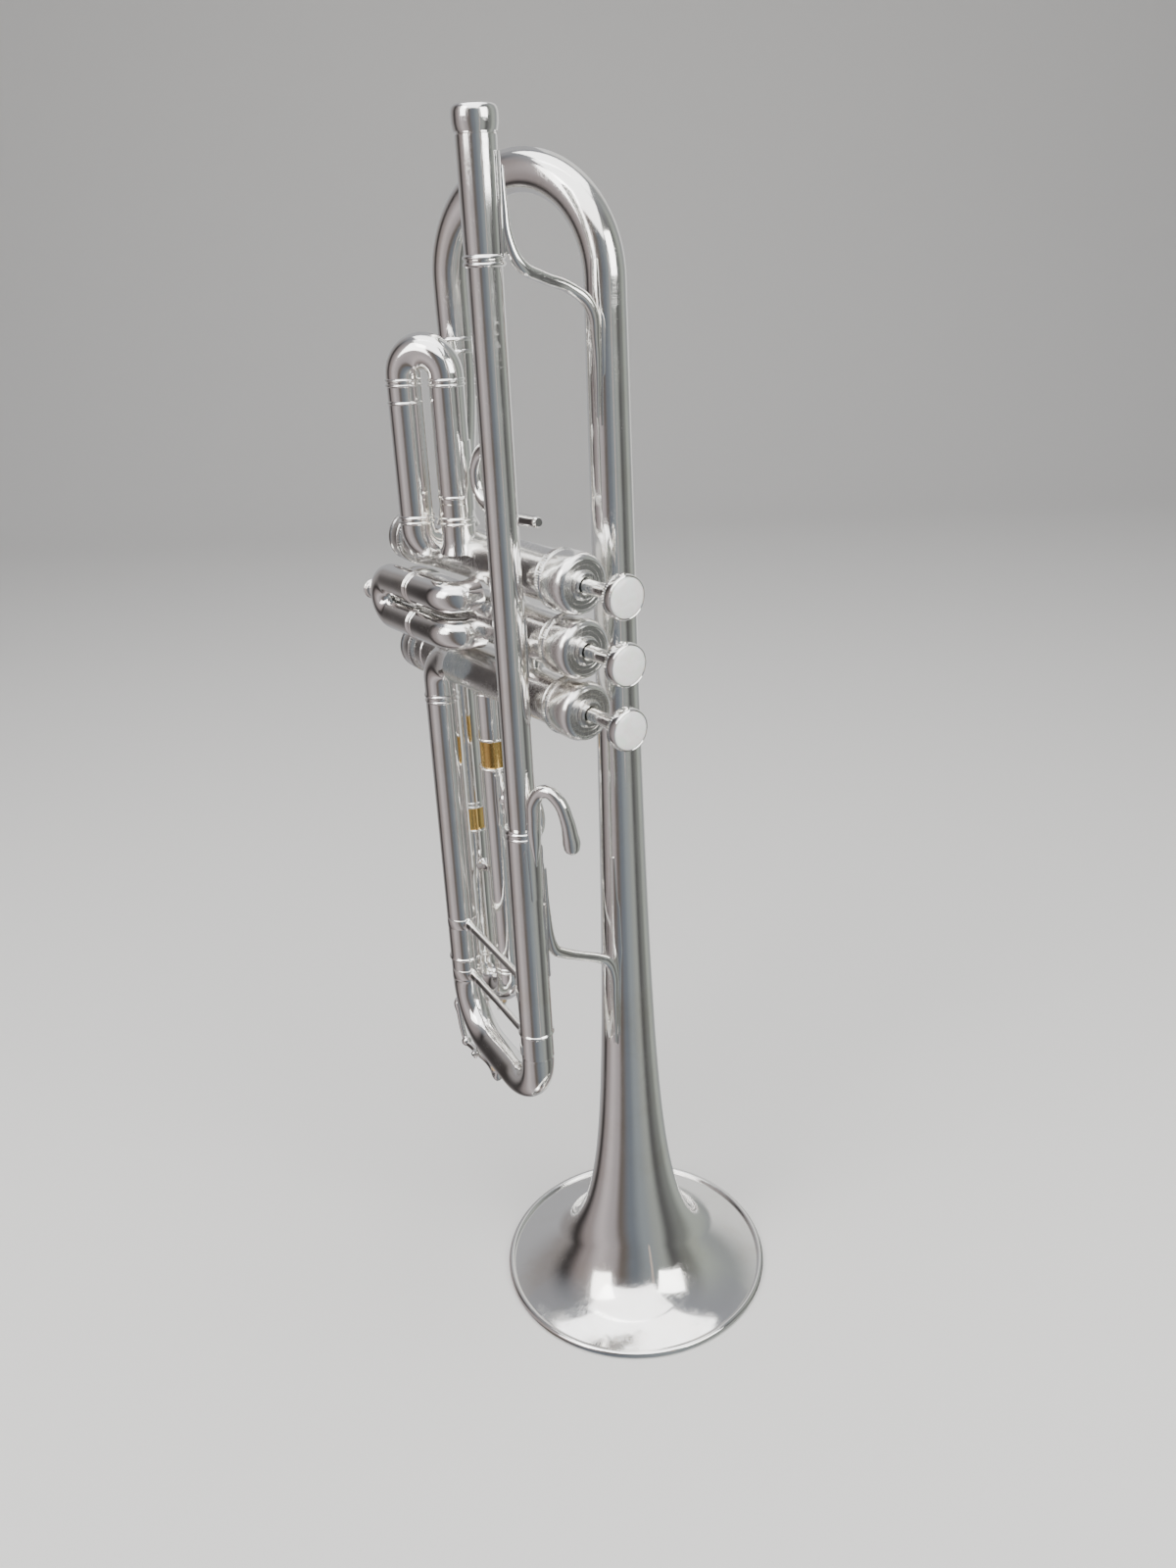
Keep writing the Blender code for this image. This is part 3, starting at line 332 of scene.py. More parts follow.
def cork_material():
    """Cork: pale grain with dark pores."""
    material, tree, shader = new_material("fine_cork", "cork")
    inputs = {"Vector": object_place(tree), "Scale": 1500}
    cells = node(tree, "ShaderNodeTexVoronoi", inputs).outputs["Distance"]
    grain = noise(tree, object_place(tree), 700, Detail=5, Roughness=0.7)
    tan = blend_colour(tree, grain, (0.50, 0.32, 0.16), (0.76, 0.56, 0.34))
    pores = ramp(tree, cells, 0.18, 0.08)
    tree.links.new(blend_colour(tree, pores, tan, (0.16, 0.08, 0.04)), shader.inputs["Base Color"])
    shader.inputs["Roughness"].default_value = 0.85
    bump(tree, shader, math_node(tree, "SUBTRACT", grain, pores), 0.6, 0.0001)
    return material


FILM = cloudy_film_group()
HAIRLINES = hairline_group()
SMEARS = smear_group()
SILVER = plated("silver_plate", "silver_plate", (0.95, 0.94, 0.92), (0.84, 0.79, 0.71), 0.075)
SATIN = plated("silver_satin", "silver_plate", (0.93, 0.92, 0.90), (0.80, 0.75, 0.68), 0.19)
BRASS = brass_material()
NICKEL = piston_material()
STEEL = steel_material()
PEARL = pearl_material()
FELT = felt_material()
CORK = cork_material()


# Modelling helpers
def mode(name):
    bpy.ops.object.mode_set(mode=name)


def settle():
    """Works the active piece's place and turn into its shape."""
    bpy.ops.object.transform_apply(location=True, rotation=True, scale=True)


def deselect():
    if bpy.context.mode != "OBJECT":
        mode("OBJECT")
    bpy.ops.object.select_all(action="DESELECT")


def only(piece):
    deselect()
    piece.select_set(True)
    bpy.context.view_layer.objects.active = piece


def apply_modifier(piece, kind, **settings):
    only(piece)
    modifier = piece.modifiers.new(kind.title(), kind)
    for name, value in settings.items():
        setattr(modifier, name, value)
    bpy.ops.object.modifier_apply(modifier=modifier.name)


def close_up(piece, sharp=35):
    """Merges doubles, turns the faces outwards and smooths what is round."""
    only(piece)
    mode("EDIT")
    bpy.ops.mesh.select_all(action="SELECT")
    bpy.ops.mesh.remove_doubles(threshold=0.000002)
    bpy.ops.mesh.normals_make_consistent(inside=False)
    mode("OBJECT")
    bpy.ops.object.shade_smooth_by_angle(angle=radians(sharp))
    return piece


def join(name, *pieces):
    """Joins pieces of one part into the first."""
    only(pieces[0])
    for piece in pieces[1:]:
        piece.select_set(True)
    bpy.ops.object.join()
    pieces[0].name = name
    return pieces[0]


def fit(piece, look, body, *nodes):
    """Gives a piece its finish and its body, and hides the frame's nodes that it stands for."""
    piece.data.materials.clear()
    piece.data.materials.append(look)
    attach(piece, body)
    if nodes:
        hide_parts(*nodes)
    return piece


def select_where(piece, test):
    """Selects the vertices whose place passes the test, and leaves edit mode on."""
    only(piece)
    mode("EDIT")
    bpy.ops.mesh.select_mode(type="VERT")
    bpy.ops.mesh.select_all(action="DESELECT")
    mode("OBJECT")
    for corner in piece.data.vertices:
        corner.select = test(corner.co)
    mode("EDIT")


class Tube:
    """A round tube or turned piece, drawn out of a disc ring by ring. Its end stays selected."""

    def __init__(self, name, start, way, radius, sides=ROUND):
        deselect()
        self.at = Vector(start)
        self.way = Vector(way).normalized()
        self.radius = radius
        turn = self.way.to_track_quat("Z", "Y").to_euler()
        bpy.ops.mesh.primitive_circle_add(
            vertices=sides, radius=radius, fill_type="NGON", location=self.at, rotation=turn
        )
        self.piece = bpy.context.object
        self.piece.name = name
        settle()
        mode("EDIT")
        bpy.ops.mesh.select_mode(type="FACE")
        bpy.ops.mesh.select_all(action="SELECT")

    def size(self, radius):
        share = radius / self.radius
        bpy.ops.transform.resize(value=(share, share, share), center_override=self.at)
        self.radius = radius
        return self

    def run(self, length, radius=None):
        """Draws the end along, and widens or narrows it."""
        move = self.way * length
        bpy.ops.mesh.extrude_region_move(TRANSFORM_OT_translate={"value": move})
        self.at = self.at + move
        if radius is not None and abs(radius - self.radius) > 1e-9:
            self.size(radius)
        return self

    def to(self, height, radius):
        """Draws an upright tube's end to a height."""
        return self.run((height - self.at.z) * self.way.z, radius)

    def bead(self, height, width, parts=4):
        """A half-round ring that stands out by height."""
        base = self.radius
        for i in range(1, parts + 1):
            angle = pi * i / parts
            self.run(width / parts, base + height * sin(angle))
        return self

    def bend(self, toward, bend_radius, angle, parts, end_radius=None):
        """Bends the tube towards a direction square to its run."""
        toward = Vector(toward).normalized()
        middle = self.at + toward * bend_radius
        axis = toward.cross(self.way)
        change = ((end_radius or self.radius) - self.radius) / parts
        for _ in range(parts):
            step = radians(angle) / parts
            bpy.ops.mesh.spin(steps=1, angle=step, center=middle, axis=axis)
            turn = Matrix.Rotation(-step, 3, axis)
            self.at = middle + turn @ (self.at - middle)
            self.way = turn @ self.way
            if change:
                self.size(self.radius + change)
        return self

    def outline(self, points):
        """Draws the end through (distance along, radius) pairs, measured from where it is now."""
        at = 0
        for along, radius in points:
            self.run(along - at, radius)
            at = along
        return self

    def turned(self, side):
        """Draws the end through (distance along, radius) pairs in millimetres."""
        return self.outline([(along * MM, radius * MM) for along, radius in side])

    def rings(self, height, width, gap):
        """Two half-round rings with a gap between them."""
        return self.bead(height, width, 6).run(gap).bead(height, width, 6)

    def done(self, sharp=35):
        mode("OBJECT")
        return close_up(self.piece, sharp)


def rod(name, points, radii, sides=6, sharp=60):
    """A rod along a smooth curve through points, with a radius at each."""
    deselect()
    bpy.ops.curve.primitive_bezier_curve_add()
    curve = bpy.context.object.data
    curve.splines.clear()
    curve.dimensions = "3D"
    curve.bevel_depth = 1
    curve.bevel_resolution = sides
    curve.resolution_u = 8
    curve.use_fill_caps = True
    spline = curve.splines.new("BEZIER")
    spline.radius_interpolation = "CARDINAL"
    spline.bezier_points.add(len(points) - 1)
    for knot, place, radius in zip(spline.bezier_points, points, radii):
        knot.co = place
        knot.radius = radius
        knot.handle_left_type = "AUTO"
        knot.handle_right_type = "AUTO"
    bpy.ops.object.convert(target="MESH")
    piece = bpy.context.object
    piece.name = name
    settle()
    return close_up(piece, sharp)


def path(spot, route):
    """Points and radii in metres from (x, y, z, radius) rows in millimetres, counted from a place."""
    points = [(spot[0] + x * MM, spot[1] + y * MM, spot[2] + z * MM) for x, y, z, _ in route]
    return points, [radius * MM for *_, radius in route]


def flange(name, spot, way, facing, tube_radius, length, width, thickness, end_radius=None):
    """A pointed plate that lies on a tube, cut out of a sleeve round it."""
    deselect()
    spot, way, facing = Vector(spot), Vector(way).normalized(), Vector(facing).normalized()
    across = way.cross(facing)
    turn = way.to_track_quat("Z", "Y").to_euler()
    bpy.ops.mesh.primitive_cone_add(
        vertices=72,
        radius1=tube_radius,
        radius2=end_radius or tube_radius,
        depth=length,
        end_fill_type="NOTHING",
        location=spot,
        rotation=turn,
    )
    piece = bpy.context.object
    piece.name = name
    settle()
    mode("EDIT")
    bpy.ops.mesh.select_all(action="SELECT")
    bpy.ops.mesh.bisect(plane_co=spot, plane_no=facing, clear_inner=True)
    for share in (0.35, 0.7, 1.0):
        reach = 1.18 - 0.18 * share
        for side in (1, -1):
            for end in (1, -1):
                slope = across * side * length * share + way * end * width
                corner = spot + way * (end * length / 2 * (1 - share) * 0.6)
                edge = corner + across * (side * width / 2 * reach)
                bpy.ops.mesh.select_all(action="SELECT")
                bpy.ops.mesh.bisect(plane_co=edge, plane_no=slope, clear_outer=True)
    mode("OBJECT")
    apply_modifier(piece, "SOLIDIFY", thickness=thickness, offset=0.6)
    apply_modifier(piece, "BEVEL", width=thickness * 0.25, segments=2, limit_method="ANGLE")
    return close_up(piece, 40)


# The bell and its bow
def flare(z):
    """The bell's outer radius above its bead."""
    widest = high("bell").y - BEAD - THROAT
    return THROAT + widest * (1 + z / FLARE_LENGTH) ** -FLARE_POWER


def dip(z):
    """How far the sheet is drawn down near the rim, so that the bead stands proud of it."""
    return 1.6 * MM * max(0, 1 - z / (26 * MM)) ** 2


def bell():
    axis_x = high("bell").x - high("bell").y
    top = high("bell").z + 0.4 * MM
    foot = 2 * BEAD
    rows = 60
    heights = [foot + (top - foot) * (1 - i / rows) ** 2.4 for i in range(rows + 1)]
    wall = Tube("bell", (axis_x, 0, top), -UP, flare(top - foot), 128)
    bead_centre = high("bell").y - BEAD
    edge = bead_centre - 1.35 * MM
    for z in heights[1:]:
        if flare(z - foot) < edge:
            wall.to(z - dip(z - foot), flare(z - foot))
    for angle in range(155, -121, -25):
        turn = radians(angle)
        wall.to(BEAD * (1 + sin(turn)), bead_centre + BEAD * cos(turn))
    wall.to(0.6 * MM, edge)
    step = 0.01 * MM
    for z in reversed(heights[1:]):
        slope = (flare(z - foot + step) - flare(z - foot)) / step
        length = (1 + slope * slope) ** 0.5
        across, down = BELL_WALL / length, -BELL_WALL * slope / length
        if flare(z - foot) - across < edge - 0.4 * MM:
            wall.to(z - down - dip(z - foot), flare(z - foot) - across)
    fit(wall.done(40), SILVER, "horn", "bell")


def bow():
    start = Vector((high("bell").x - high("bell").y, 0, high("bell").z))
    tail = centre("tail_ferrule")
    side = Vector((tail.x, tail.y, start.z)) - start
    rise = 2.3 * MM
    end_radius = (high("bell_tail").x - low("bell_tail").x) / 2
    tube = Tube("main_bow", start, UP, flare(start.z - 2 * BEAD))
    tube.run(rise).bend(side, side.length / 2, 180, 40, end_radius).run(rise)
    fit(tube.done(), SILVER, "horn", "bell_bow")
    foot = centre("bell_tail")
    points = [
        (tail.x, tail.y, start.z + 0.4 * MM),
        (tail.x, tail.y, 405 * MM),
        (tail.x, tail.y - 3 * MM, 375 * MM),
        (tail.x, tail.y - 6.5 * MM, low("bell_tail").z),
    ]
    fit(rod("bell_tail_tube", points, [end_radius] * 4, 14), SILVER, "horn", "bell_tail")
    ring = Tube("tail_ring", (tail.x, tail.y, low("tail_ferrule").z), UP, end_radius - 0.2 * MM)
    ring.run(0, end_radius + 0.35 * MM).bead(0.45 * MM, 1.4 * MM).run(3 * MM)
    ring.bead(0.45 * MM, 1.4 * MM).run(0, end_radius - 0.2 * MM)
    fit(ring.done(), SILVER, "horn", "tail_ferrule")
    solder = Tube("tail_collar", (foot.x, tail.y - 5.6 * MM, 357 * MM), -UP, end_radius - 0.2 * MM)
    solder.run(0, end_radius + 0.2 * MM).run(4 * MM, end_radius + 0.9 * MM)
    solder.run(3 * MM, end_radius + 2.2 * MM)
    fit(solder.done(60), SILVER, "horn")


# Leadpipe and tuning slide
def receiver():
    foot = column("mouthpiece_receiver", low("mouthpiece_receiver").z)
    top = high("mouthpiece_receiver").z
    tube = Tube("mouthpiece_receiver_tube", foot, UP, 6 * MM, 72)
    tube.run(0, 6.35 * MM).rings(0.75 * MM, 1.7 * MM, 0.3 * MM)
    tube.to(foot.z + 5 * MM, 6.4 * MM).to(top - 8.4 * MM, 6.6 * MM).run(0.3 * MM, 6.3 * MM)
    tube.run(0.4 * MM).run(0.1 * MM, 6.75 * MM)
    collar = [(0.6, 7.0), (2.2, 7.3), (4.2, 7.4), (5.6, 7.35), (6.6, 7.1), (7.2, 6.7), (7.5, 6.2)]
    tube.turned(collar)
    tube.to(top, 5.7 * MM).run(0, 5.25 * MM).run(-0.4 * MM, 5 * MM).run(-38 * MM, 4.4 * MM)
    fit(tube.done(), SILVER, "horn", "mouthpiece_receiver")


def lead_tube():
    foot = column("leadpipe", low("leadpipe").z)
    tube = Tube("lead_tube", foot, UP, radius_of("leadpipe"))
    tube.to(high("leadpipe").z, radius_of("leadpipe"))
    fit(tube.done(), SILVER, "horn", "leadpipe")


def slide_sleeve(name, cad_node, rings):
    """A slide's outer tube with a plain ring at its foot and a double ring at its top."""
    foot = column(cad_node, low(cad_node).z)
    top = high(cad_node).z
    tube_radius = radius_of(cad_node) - 0.5 * MM
    tube = Tube(name, foot, UP, tube_radius - 0.4 * MM)
    tube.run(0.15 * MM, tube_radius + 0.1 * MM).bead(0.55 * MM, 1.7 * MM, 8).run(0.2 * MM, tube_radius)
    tube.to(top - rings, tube_radius)
    tube.bead(0.35 * MM, 1.2 * MM, 6).run(0.9 * MM).bead(0.45 * MM, 1.6 * MM, 6)
    tube.to(top, tube_radius).run(0, tube_radius - 0.7 * MM)
    fit(tube.done(), SILVER, "horn", cad_node)


def main_slide():
    upper = column("upper_slide_sleeve", 0)
    lower = column("lower_slide_sleeve", 0)
    across = (upper - lower).normalized()
    top = high("main_tuning_slide").z
    collar = low("upper_slide_sleeve").z
    crook = CROOK
    leg = 6 * MM
    bend = 24 * MM
    start = low("main_tuning_slide").z + crook + bend
    tube = Tube("tuning_slide_bow", upper + UP * top, -UP, leg)
    tube.to(collar + 0.2 * MM, leg).run(0, crook - 0.1 * MM).run(0.3 * MM, crook)
    tube.to(start + 2 * MM, crook).bead(0.12 * MM, 0.8 * MM).to(start, crook)
    tube.bend(-across, bend, 90, 18)
    tube.run((upper - lower).length - 2 * bend)
    tube.bend(UP, bend, 90, 18).run(1.2 * MM).bead(0.12 * MM, 0.8 * MM)
    tube.to(collar - 0.1 * MM, crook).run(0.3 * MM, crook - 0.1 * MM).run(0, leg).to(top, leg)
    fit(tube.done(), SILVER, "main_slide", "main_tuning_slide")


def straight_brace(name, cad_node, tube_radius, body):
    """A turned stay across the tuning slide, with a socket and a pointed band at each end."""
    z = centre(cad_node).z
    a, b = column("upper_slide_sleeve", z), column("lower_slide_sleeve", z)
    way = (b - a).normalized()
    reach = (b - a).length - 2 * tube_radius
    stay = Tube(name, a + way * (tube_radius - 0.4 * MM), way, 2.9 * MM, 32)
    middle = reach / 2 + 0.4 * MM
    half = [(0.6, 2.9), (1.0, 2.3), (1.6, 2.2), (5.6, 2.05), (5.9, 2.35), (6.5, 2.35), (6.9, 1.9)]
    half += [(9, 1.75)]
    stay.turned(half)
    stay.run(middle - 9 * MM, 1.6 * MM)
    back = [(middle - along * MM, radius * MM) for along, radius in reversed(half)]
    stay.outline(back)
    stay.run(0.6 * MM)
    parts = [stay.done()]
    for spot, facing in ((a, way), (b, -way)):
        parts.append(flange(name + "_band", spot, UP, facing, tube_radius, 4.6 * MM, 12.6 * MM, PLATE))
    fit(join(name, *parts), SILVER, body, cad_node)


def pointed_foot(name, axis, z_low, z_high, facing, body):
    """A long pointed plate on the bell's stem, between two heights."""
    foot = 2 * BEAD
    spot = Vector((axis.x, axis.y, (z_low + z_high) / 2))
    radii = (flare(z_low - foot), flare(z_high - foot))
    plate = flange(name, spot, UP, facing, radii[0], z_high - z_low, 6.4 * MM, PLATE, radii[1])
    fit(plate, SILVER, body)


def bell_braces():
    """The two bent stays that hold the bell to the leadpipe side."""
    bell_axis = Vector((high("bell").x - high("bell").y, 0, 0))
    routes = {
        "receiver_brace": [
            (1.4, -40.6, 474, 0.6),
            (1.5, -40.5, 463, 1.1),
            (1.8, -40.0, 453, 1.8),
            (3.0, -37.0, 445.6, 2.1),
            (2.9, -28.0, 441.2, 1.95),
            (3.6, -18.0, 437.6, 1.95),
            (5.2, -10.8, 431.5, 2.1),
            (5.2, -9.0, 421, 1.7),
            (4.5, -8.6, 395, 0.6),
        ],
        "sleeve_brace": [
            (1.6, -40.4, 227, 0.6),
            (1.7, -40.3, 207, 1.1),
            (2.1, -39.6, 193.5, 1.9),
            (2.6, -38.2, 189.2, 2.3),
            (3.3, -35.4, 187.2, 2.2),
            (4.2, -27.0, 182.8, 2.0),
            (5.3, -17.6, 178.0, 2.1),
            (6.0, -14.6, 175.6, 2.3),
            (6.6, -12.9, 171.5, 2.1),
            (6.9, -12.4, 157, 1.6),
            (7.3, -12.8, 135, 0.6),
        ],
    }
    for name, route in routes.items():
        fit(rod(name + "_stay", *path(bell_axis, route), 8), SILVER, "horn", name)
    pointed_foot("receiver_brace_foot", bell_axis, 392 * MM, 446 * MM, (4.6, -9.8, 0), "horn")
    pointed_foot("sleeve_brace_foot", bell_axis, 132 * MM, 222 * MM, (6.6, -14, 0), "horn")
    for name, z, length, tube_radius in (
        ("receiver_plate", 463 * MM, 30 * MM, 6.6 * MM),
        ("sleeve_plate", 204 * MM, 52 * MM, SLEEVE),
    ):
        spot = column("leadpipe", z)
        plate = flange(name, spot, UP, (0.6, 0.8, 0), tube_radius, length, 6.4 * MM, PLATE)
        fit(plate, SILVER, "horn")


def little_finger_hook():
    """The hook for the right little finger: a leaf on the sleeve that arches over to a bulb."""
    route = [
        (7.2, 0.3, 231, 0.6), (7.3, 0.3, 241, 2.3), (7.4, 0.4, 252, 2.8), (8.4, 0.8, 259.5, 2.7),
        (12.6, 2.9, 263.8, 2.6), (17.4, 5.1, 261, 2.6), (20.4, 6.6, 253.4, 2.7), (21.5, 7.1, 247, 3.1),
        (21.8, 7.3, 244, 3.4), (21.9, 7.3, 242, 3.1),
    ]
    points, radii = path(column("upper_slide_sleeve", 0), route)
    hook = rod("hook_rod", points, radii, 10)
    ball = Tube("hook_end", Vector(points[-1]) + UP * 0.3 * MM, -UP, 3.1 * MM, 32)
    ball.turned([(0.9, 2.95), (1.8, 2.4), (2.5, 1.5), (2.8, 0.4)])
    spot = column("upper_slide_sleeve", 233 * MM)
    plate = flange("hook_plate", spot, UP, (1, 0.04, 0), SLEEVE, 34 * MM, 9 * MM, 0.9 * MM)
    fit(join("little_finger_hook", hook, ball.done(), plate), SILVER, "horn", "pinky_hook")


# Valves
def knurl(piece, axis_point, start, end, count, depth):
    """Presses every second edge of a band in, to leave fine ribs. The band runs along X."""
    def on_band(place):
        if not start < place.x < end:
            return False
        radius = ((place.y - axis_point.y) ** 2 + (place.z - axis_point.z) ** 2) ** 0.5
        turn = Vector((place.y - axis_point.y, place.z - axis_point.z)).angle_signed(Vector((1, 0)))
        return round(turn / (2 * pi) * count) % 2 == 0 and radius > depth[0]

    select_where(piece, on_band)
    share = depth[1]
    bpy.ops.transform.resize(value=(1, share, share), center_override=axis_point)
    mode("OBJECT")


def casing(number):
    cad_node = f"valve_casing_{number}"
    x_low, x_high = low(cad_node).x, high(cad_node).x
    spot = centre(cad_node)
    wall = (high(cad_node).z - low(cad_node).z) / 2
    foot = Vector((x_low, spot.y, spot.z))
    cap_edge = low(f"top_cap_{number}").x - x_low
    tube = Tube(f"casing_{number}", foot, ALONG, wall - 0.8 * MM, 72)
    tube.run(0, wall).run(14 * MM).bead(0.35 * MM, 1.2 * MM).run(cap_edge - 17.6 * MM)
    tube.bead(0.35 * MM, 1.2 * MM).run(x_high - x_low - cap_edge + 1.2 * MM)
    tube.run(0, wall - 0.8 * MM)
    fit(tube.done(), SATIN, "horn", cad_node)


def ribbed_cap(name, cad_node, way, steps, side, rib_root):
    """A screwed cap turned to an outline in millimetres, with fine ribs round its edge."""
    spot = centre(cad_node)
    start = low(cad_node).x if way == ALONG else high(cad_node).x
    foot = Vector((start, spot.y, spot.z))
    piece = Tube(name, foot, way, 9.9 * MM, steps).turned(side).done(28)
    edges = sorted((start + way.x * 0.2 * MM, start + way.x * 1.95 * MM))
    knurl(piece, foot, *edges, steps, (rib_root, 0.972))
    fit(close_up(piece, 20), SATIN, "horn", cad_node)


def top_cap(number):
    """The upper cap: ribbed edge, swelling barrel and a ringed face round the stem."""
    side = [(0, 10.9), (0.25, 11.4), (1.9, 11.4), (2.15, 10.9), (2.5, 10.8), (2.9, 11.0)]
    side += [(5, 11.25), (8, 11.35), (10.5, 11.3), (12.2, 11.0), (13.3, 10.5), (14.1, 9.8)]
    side += [(14.5, 9.1), (14.45, 8.8), (14.0, 8.6), (14.0, 7.3), (14.2, 7.2), (14.2, 6.9)]
    side += [(14.0, 6.8), (14.0, 5.5), (14.3, 5.2), (15.6, 4.9), (16, 4.5), (16, 3.5)]
    side += [(15.6, 3.05), (12, 3.0)]
    ribbed_cap(f"upper_cap_{number}", f"top_cap_{number}", ALONG, 144, side, 11.2 * MM)


def bottom_cap(number):
    """The lower cap: ribbed edge, a step and a shallow dome with a vent."""
    side = [(0, 10.4), (0.25, 10.9), (1.9, 10.9), (2.15, 10.4), (2.6, 10.35), (2.9, 10.6)]
    side += [(6.4, 10.7), (7.2, 10.5), (7.5, 10.1), (7.9, 10.1), (8.2, 10.5), (9.3, 10.5)]
    side += [(10.2, 9.9), (10.9, 8.7), (11.4, 7.0), (11.8, 5.0), (11.95, 3.4), (12, 1.9)]
    side += [(11.8, 1.5), (10.8, 1.4)]
    ribbed_cap(f"lower_cap_{number}", f"bottom_cap_{number}", -ALONG, 120, side, 10.7 * MM)


def button(number):
    """The stem and the finger button, a ribbed cup that holds a pearl."""
    cad_node = f"finger_button_{number}"
    spot = centre(cad_node)
    body = f"valve_{number}"
    start, end = low(cad_node).x, high(cad_node).x
    length = (end - start) / MM
    steps = 108
    stem = Tube(f"button_cup_{number}", Vector((start, spot.y, spot.z)), ALONG, 2.6 * MM, steps)
    under = length - 5.4
    side = [(0.2, 2.7), (under - 6, 2.7), (under - 5.8, 2.95), (under - 1.6, 3.0), (under - 0.4, 3.5)]
    side += [(under + 0.2, 5.9), (under + 0.6, 7.3), (under + 0.9, 7.7), (under + 2.2, 7.9)]
    side += [(under + 2.35, 7.6), (under + 2.8, 7.6), (under + 3.0, 7.9), (under + 4.4, 7.9)]
    side += [(length - 0.5, 7.8), (length - 0.1, 7.55), (length, 7.35), (length - 0.1, 7.15)]
    side += [(length - 1.3, 7.1)]
    stem.turned(side)
    piece = stem.done(28)
    edge = end - 5.4 * MM
    axis = Vector((edge, spot.y, spot.z))
    knurl(piece, axis, edge + 0.85 * MM, edge + 2.25 * MM, steps, (7.6 * MM, 0.97))
    fit(close_up(piece, 20), SILVER, body, cad_node)
    pearl_node = f"pearl_{number}"
    disc = Tube(f"pearl_inlay_{number}", Vector((low(pearl_node).x, spot.y, spot.z)), ALONG, 7.0 * MM, 64)
    dome = [(0.95, 7.05), (1.2, 6.85), (1.5, 6.2), (1.8, 5.0), (2.0, 3.4), (2.1, 1.8), (2.14, 0.4)]
    disc.turned(dome)
    fit(disc.done(60), PEARL, body, pearl_node)
    felt_node = f"button_felt_{number}"
    felt = Tube(f"felt_washer_{number}", Vector((low(felt_node).x, spot.y, spot.z)), ALONG, 4.7 * MM, 48)
    felt.turned([(0.15, 5.0), (0.5, 5.2), (0.9, 5.1), (1.2, 4.6)])
    fit(felt.done(60), FELT, body, felt_node)


def knuckle(cad_node, upper, lower):
    """The short port between two casings, with a swelling of solder at each end."""
    spot = centre(cad_node)
    start = Vector((spot.x, spot.y, centre(upper).z - 4 * MM))
    length = start.z - centre(lower).z - 4 * MM
    tube = Tube(cad_node + "_port", start, -UP, 9.4 * MM)
    tube.run(3.2 * MM, 8.6 * MM).run(1.8 * MM, 6.9 * MM).run(1.2 * MM, 6.5 * MM)
    tube.run(length - 12.4 * MM).run(1.2 * MM, 6.9 * MM).run(1.8 * MM, 8.6 * MM).run(3.2 * MM, 9.4 * MM)
    fit(tube.done(60), SATIN, "horn", cad_node)


def casing_bracket():
    """The saddle between the leadpipe and the middle casing, with its screw."""
    spot = centre("valve_casing_2")
    lead = column("leadpipe", spot.z)
    casing_wall = (high("valve_casing_2").z - low("valve_casing_2").z) / 2
    edge = spot.y - casing_wall
    reach = edge - lead.y - radius_of("leadpipe")
    start = Vector((lead.x + 2 * MM, lead.y + radius_of("leadpipe") - 1 * MM, spot.z))
    post = Tube("casing_bracket", start, (0, 1, 0), 3.4 * MM, 40)
    post.run(1 * MM, 2.8 * MM).run(reach, 2.6 * MM).run(1 * MM, 3.8 * MM).run(1 * MM, 4.6 * MM)
    plate = flange("bracket_plate", lead, UP, (0, 1, 0), radius_of("leadpipe"), 22 * MM, 7 * MM, PLATE)
    fit(join("casing_bracket", post.done(50), plate), SATIN, "horn")


# Valve slides
def elbow():
    """The bend from the lower sleeve into the third casing."""
    cad_node = "third_valve_elbow"
    lower = column("lower_slide_sleeve", low(cad_node).z - 0.4 * MM)
    bend = 10.5 * MM
    radius = CROOK
    tube = Tube("third_valve_bend", lower, UP, radius)
    tube.run(5.1 * MM).bend(ALONG, bend, 90, 16)
    tube.run(5 * MM, radius + 0.5 * MM).run(2 * MM, radius + 1.4 * MM)
    fit(tube.done(60), SILVER, "horn", cad_node)


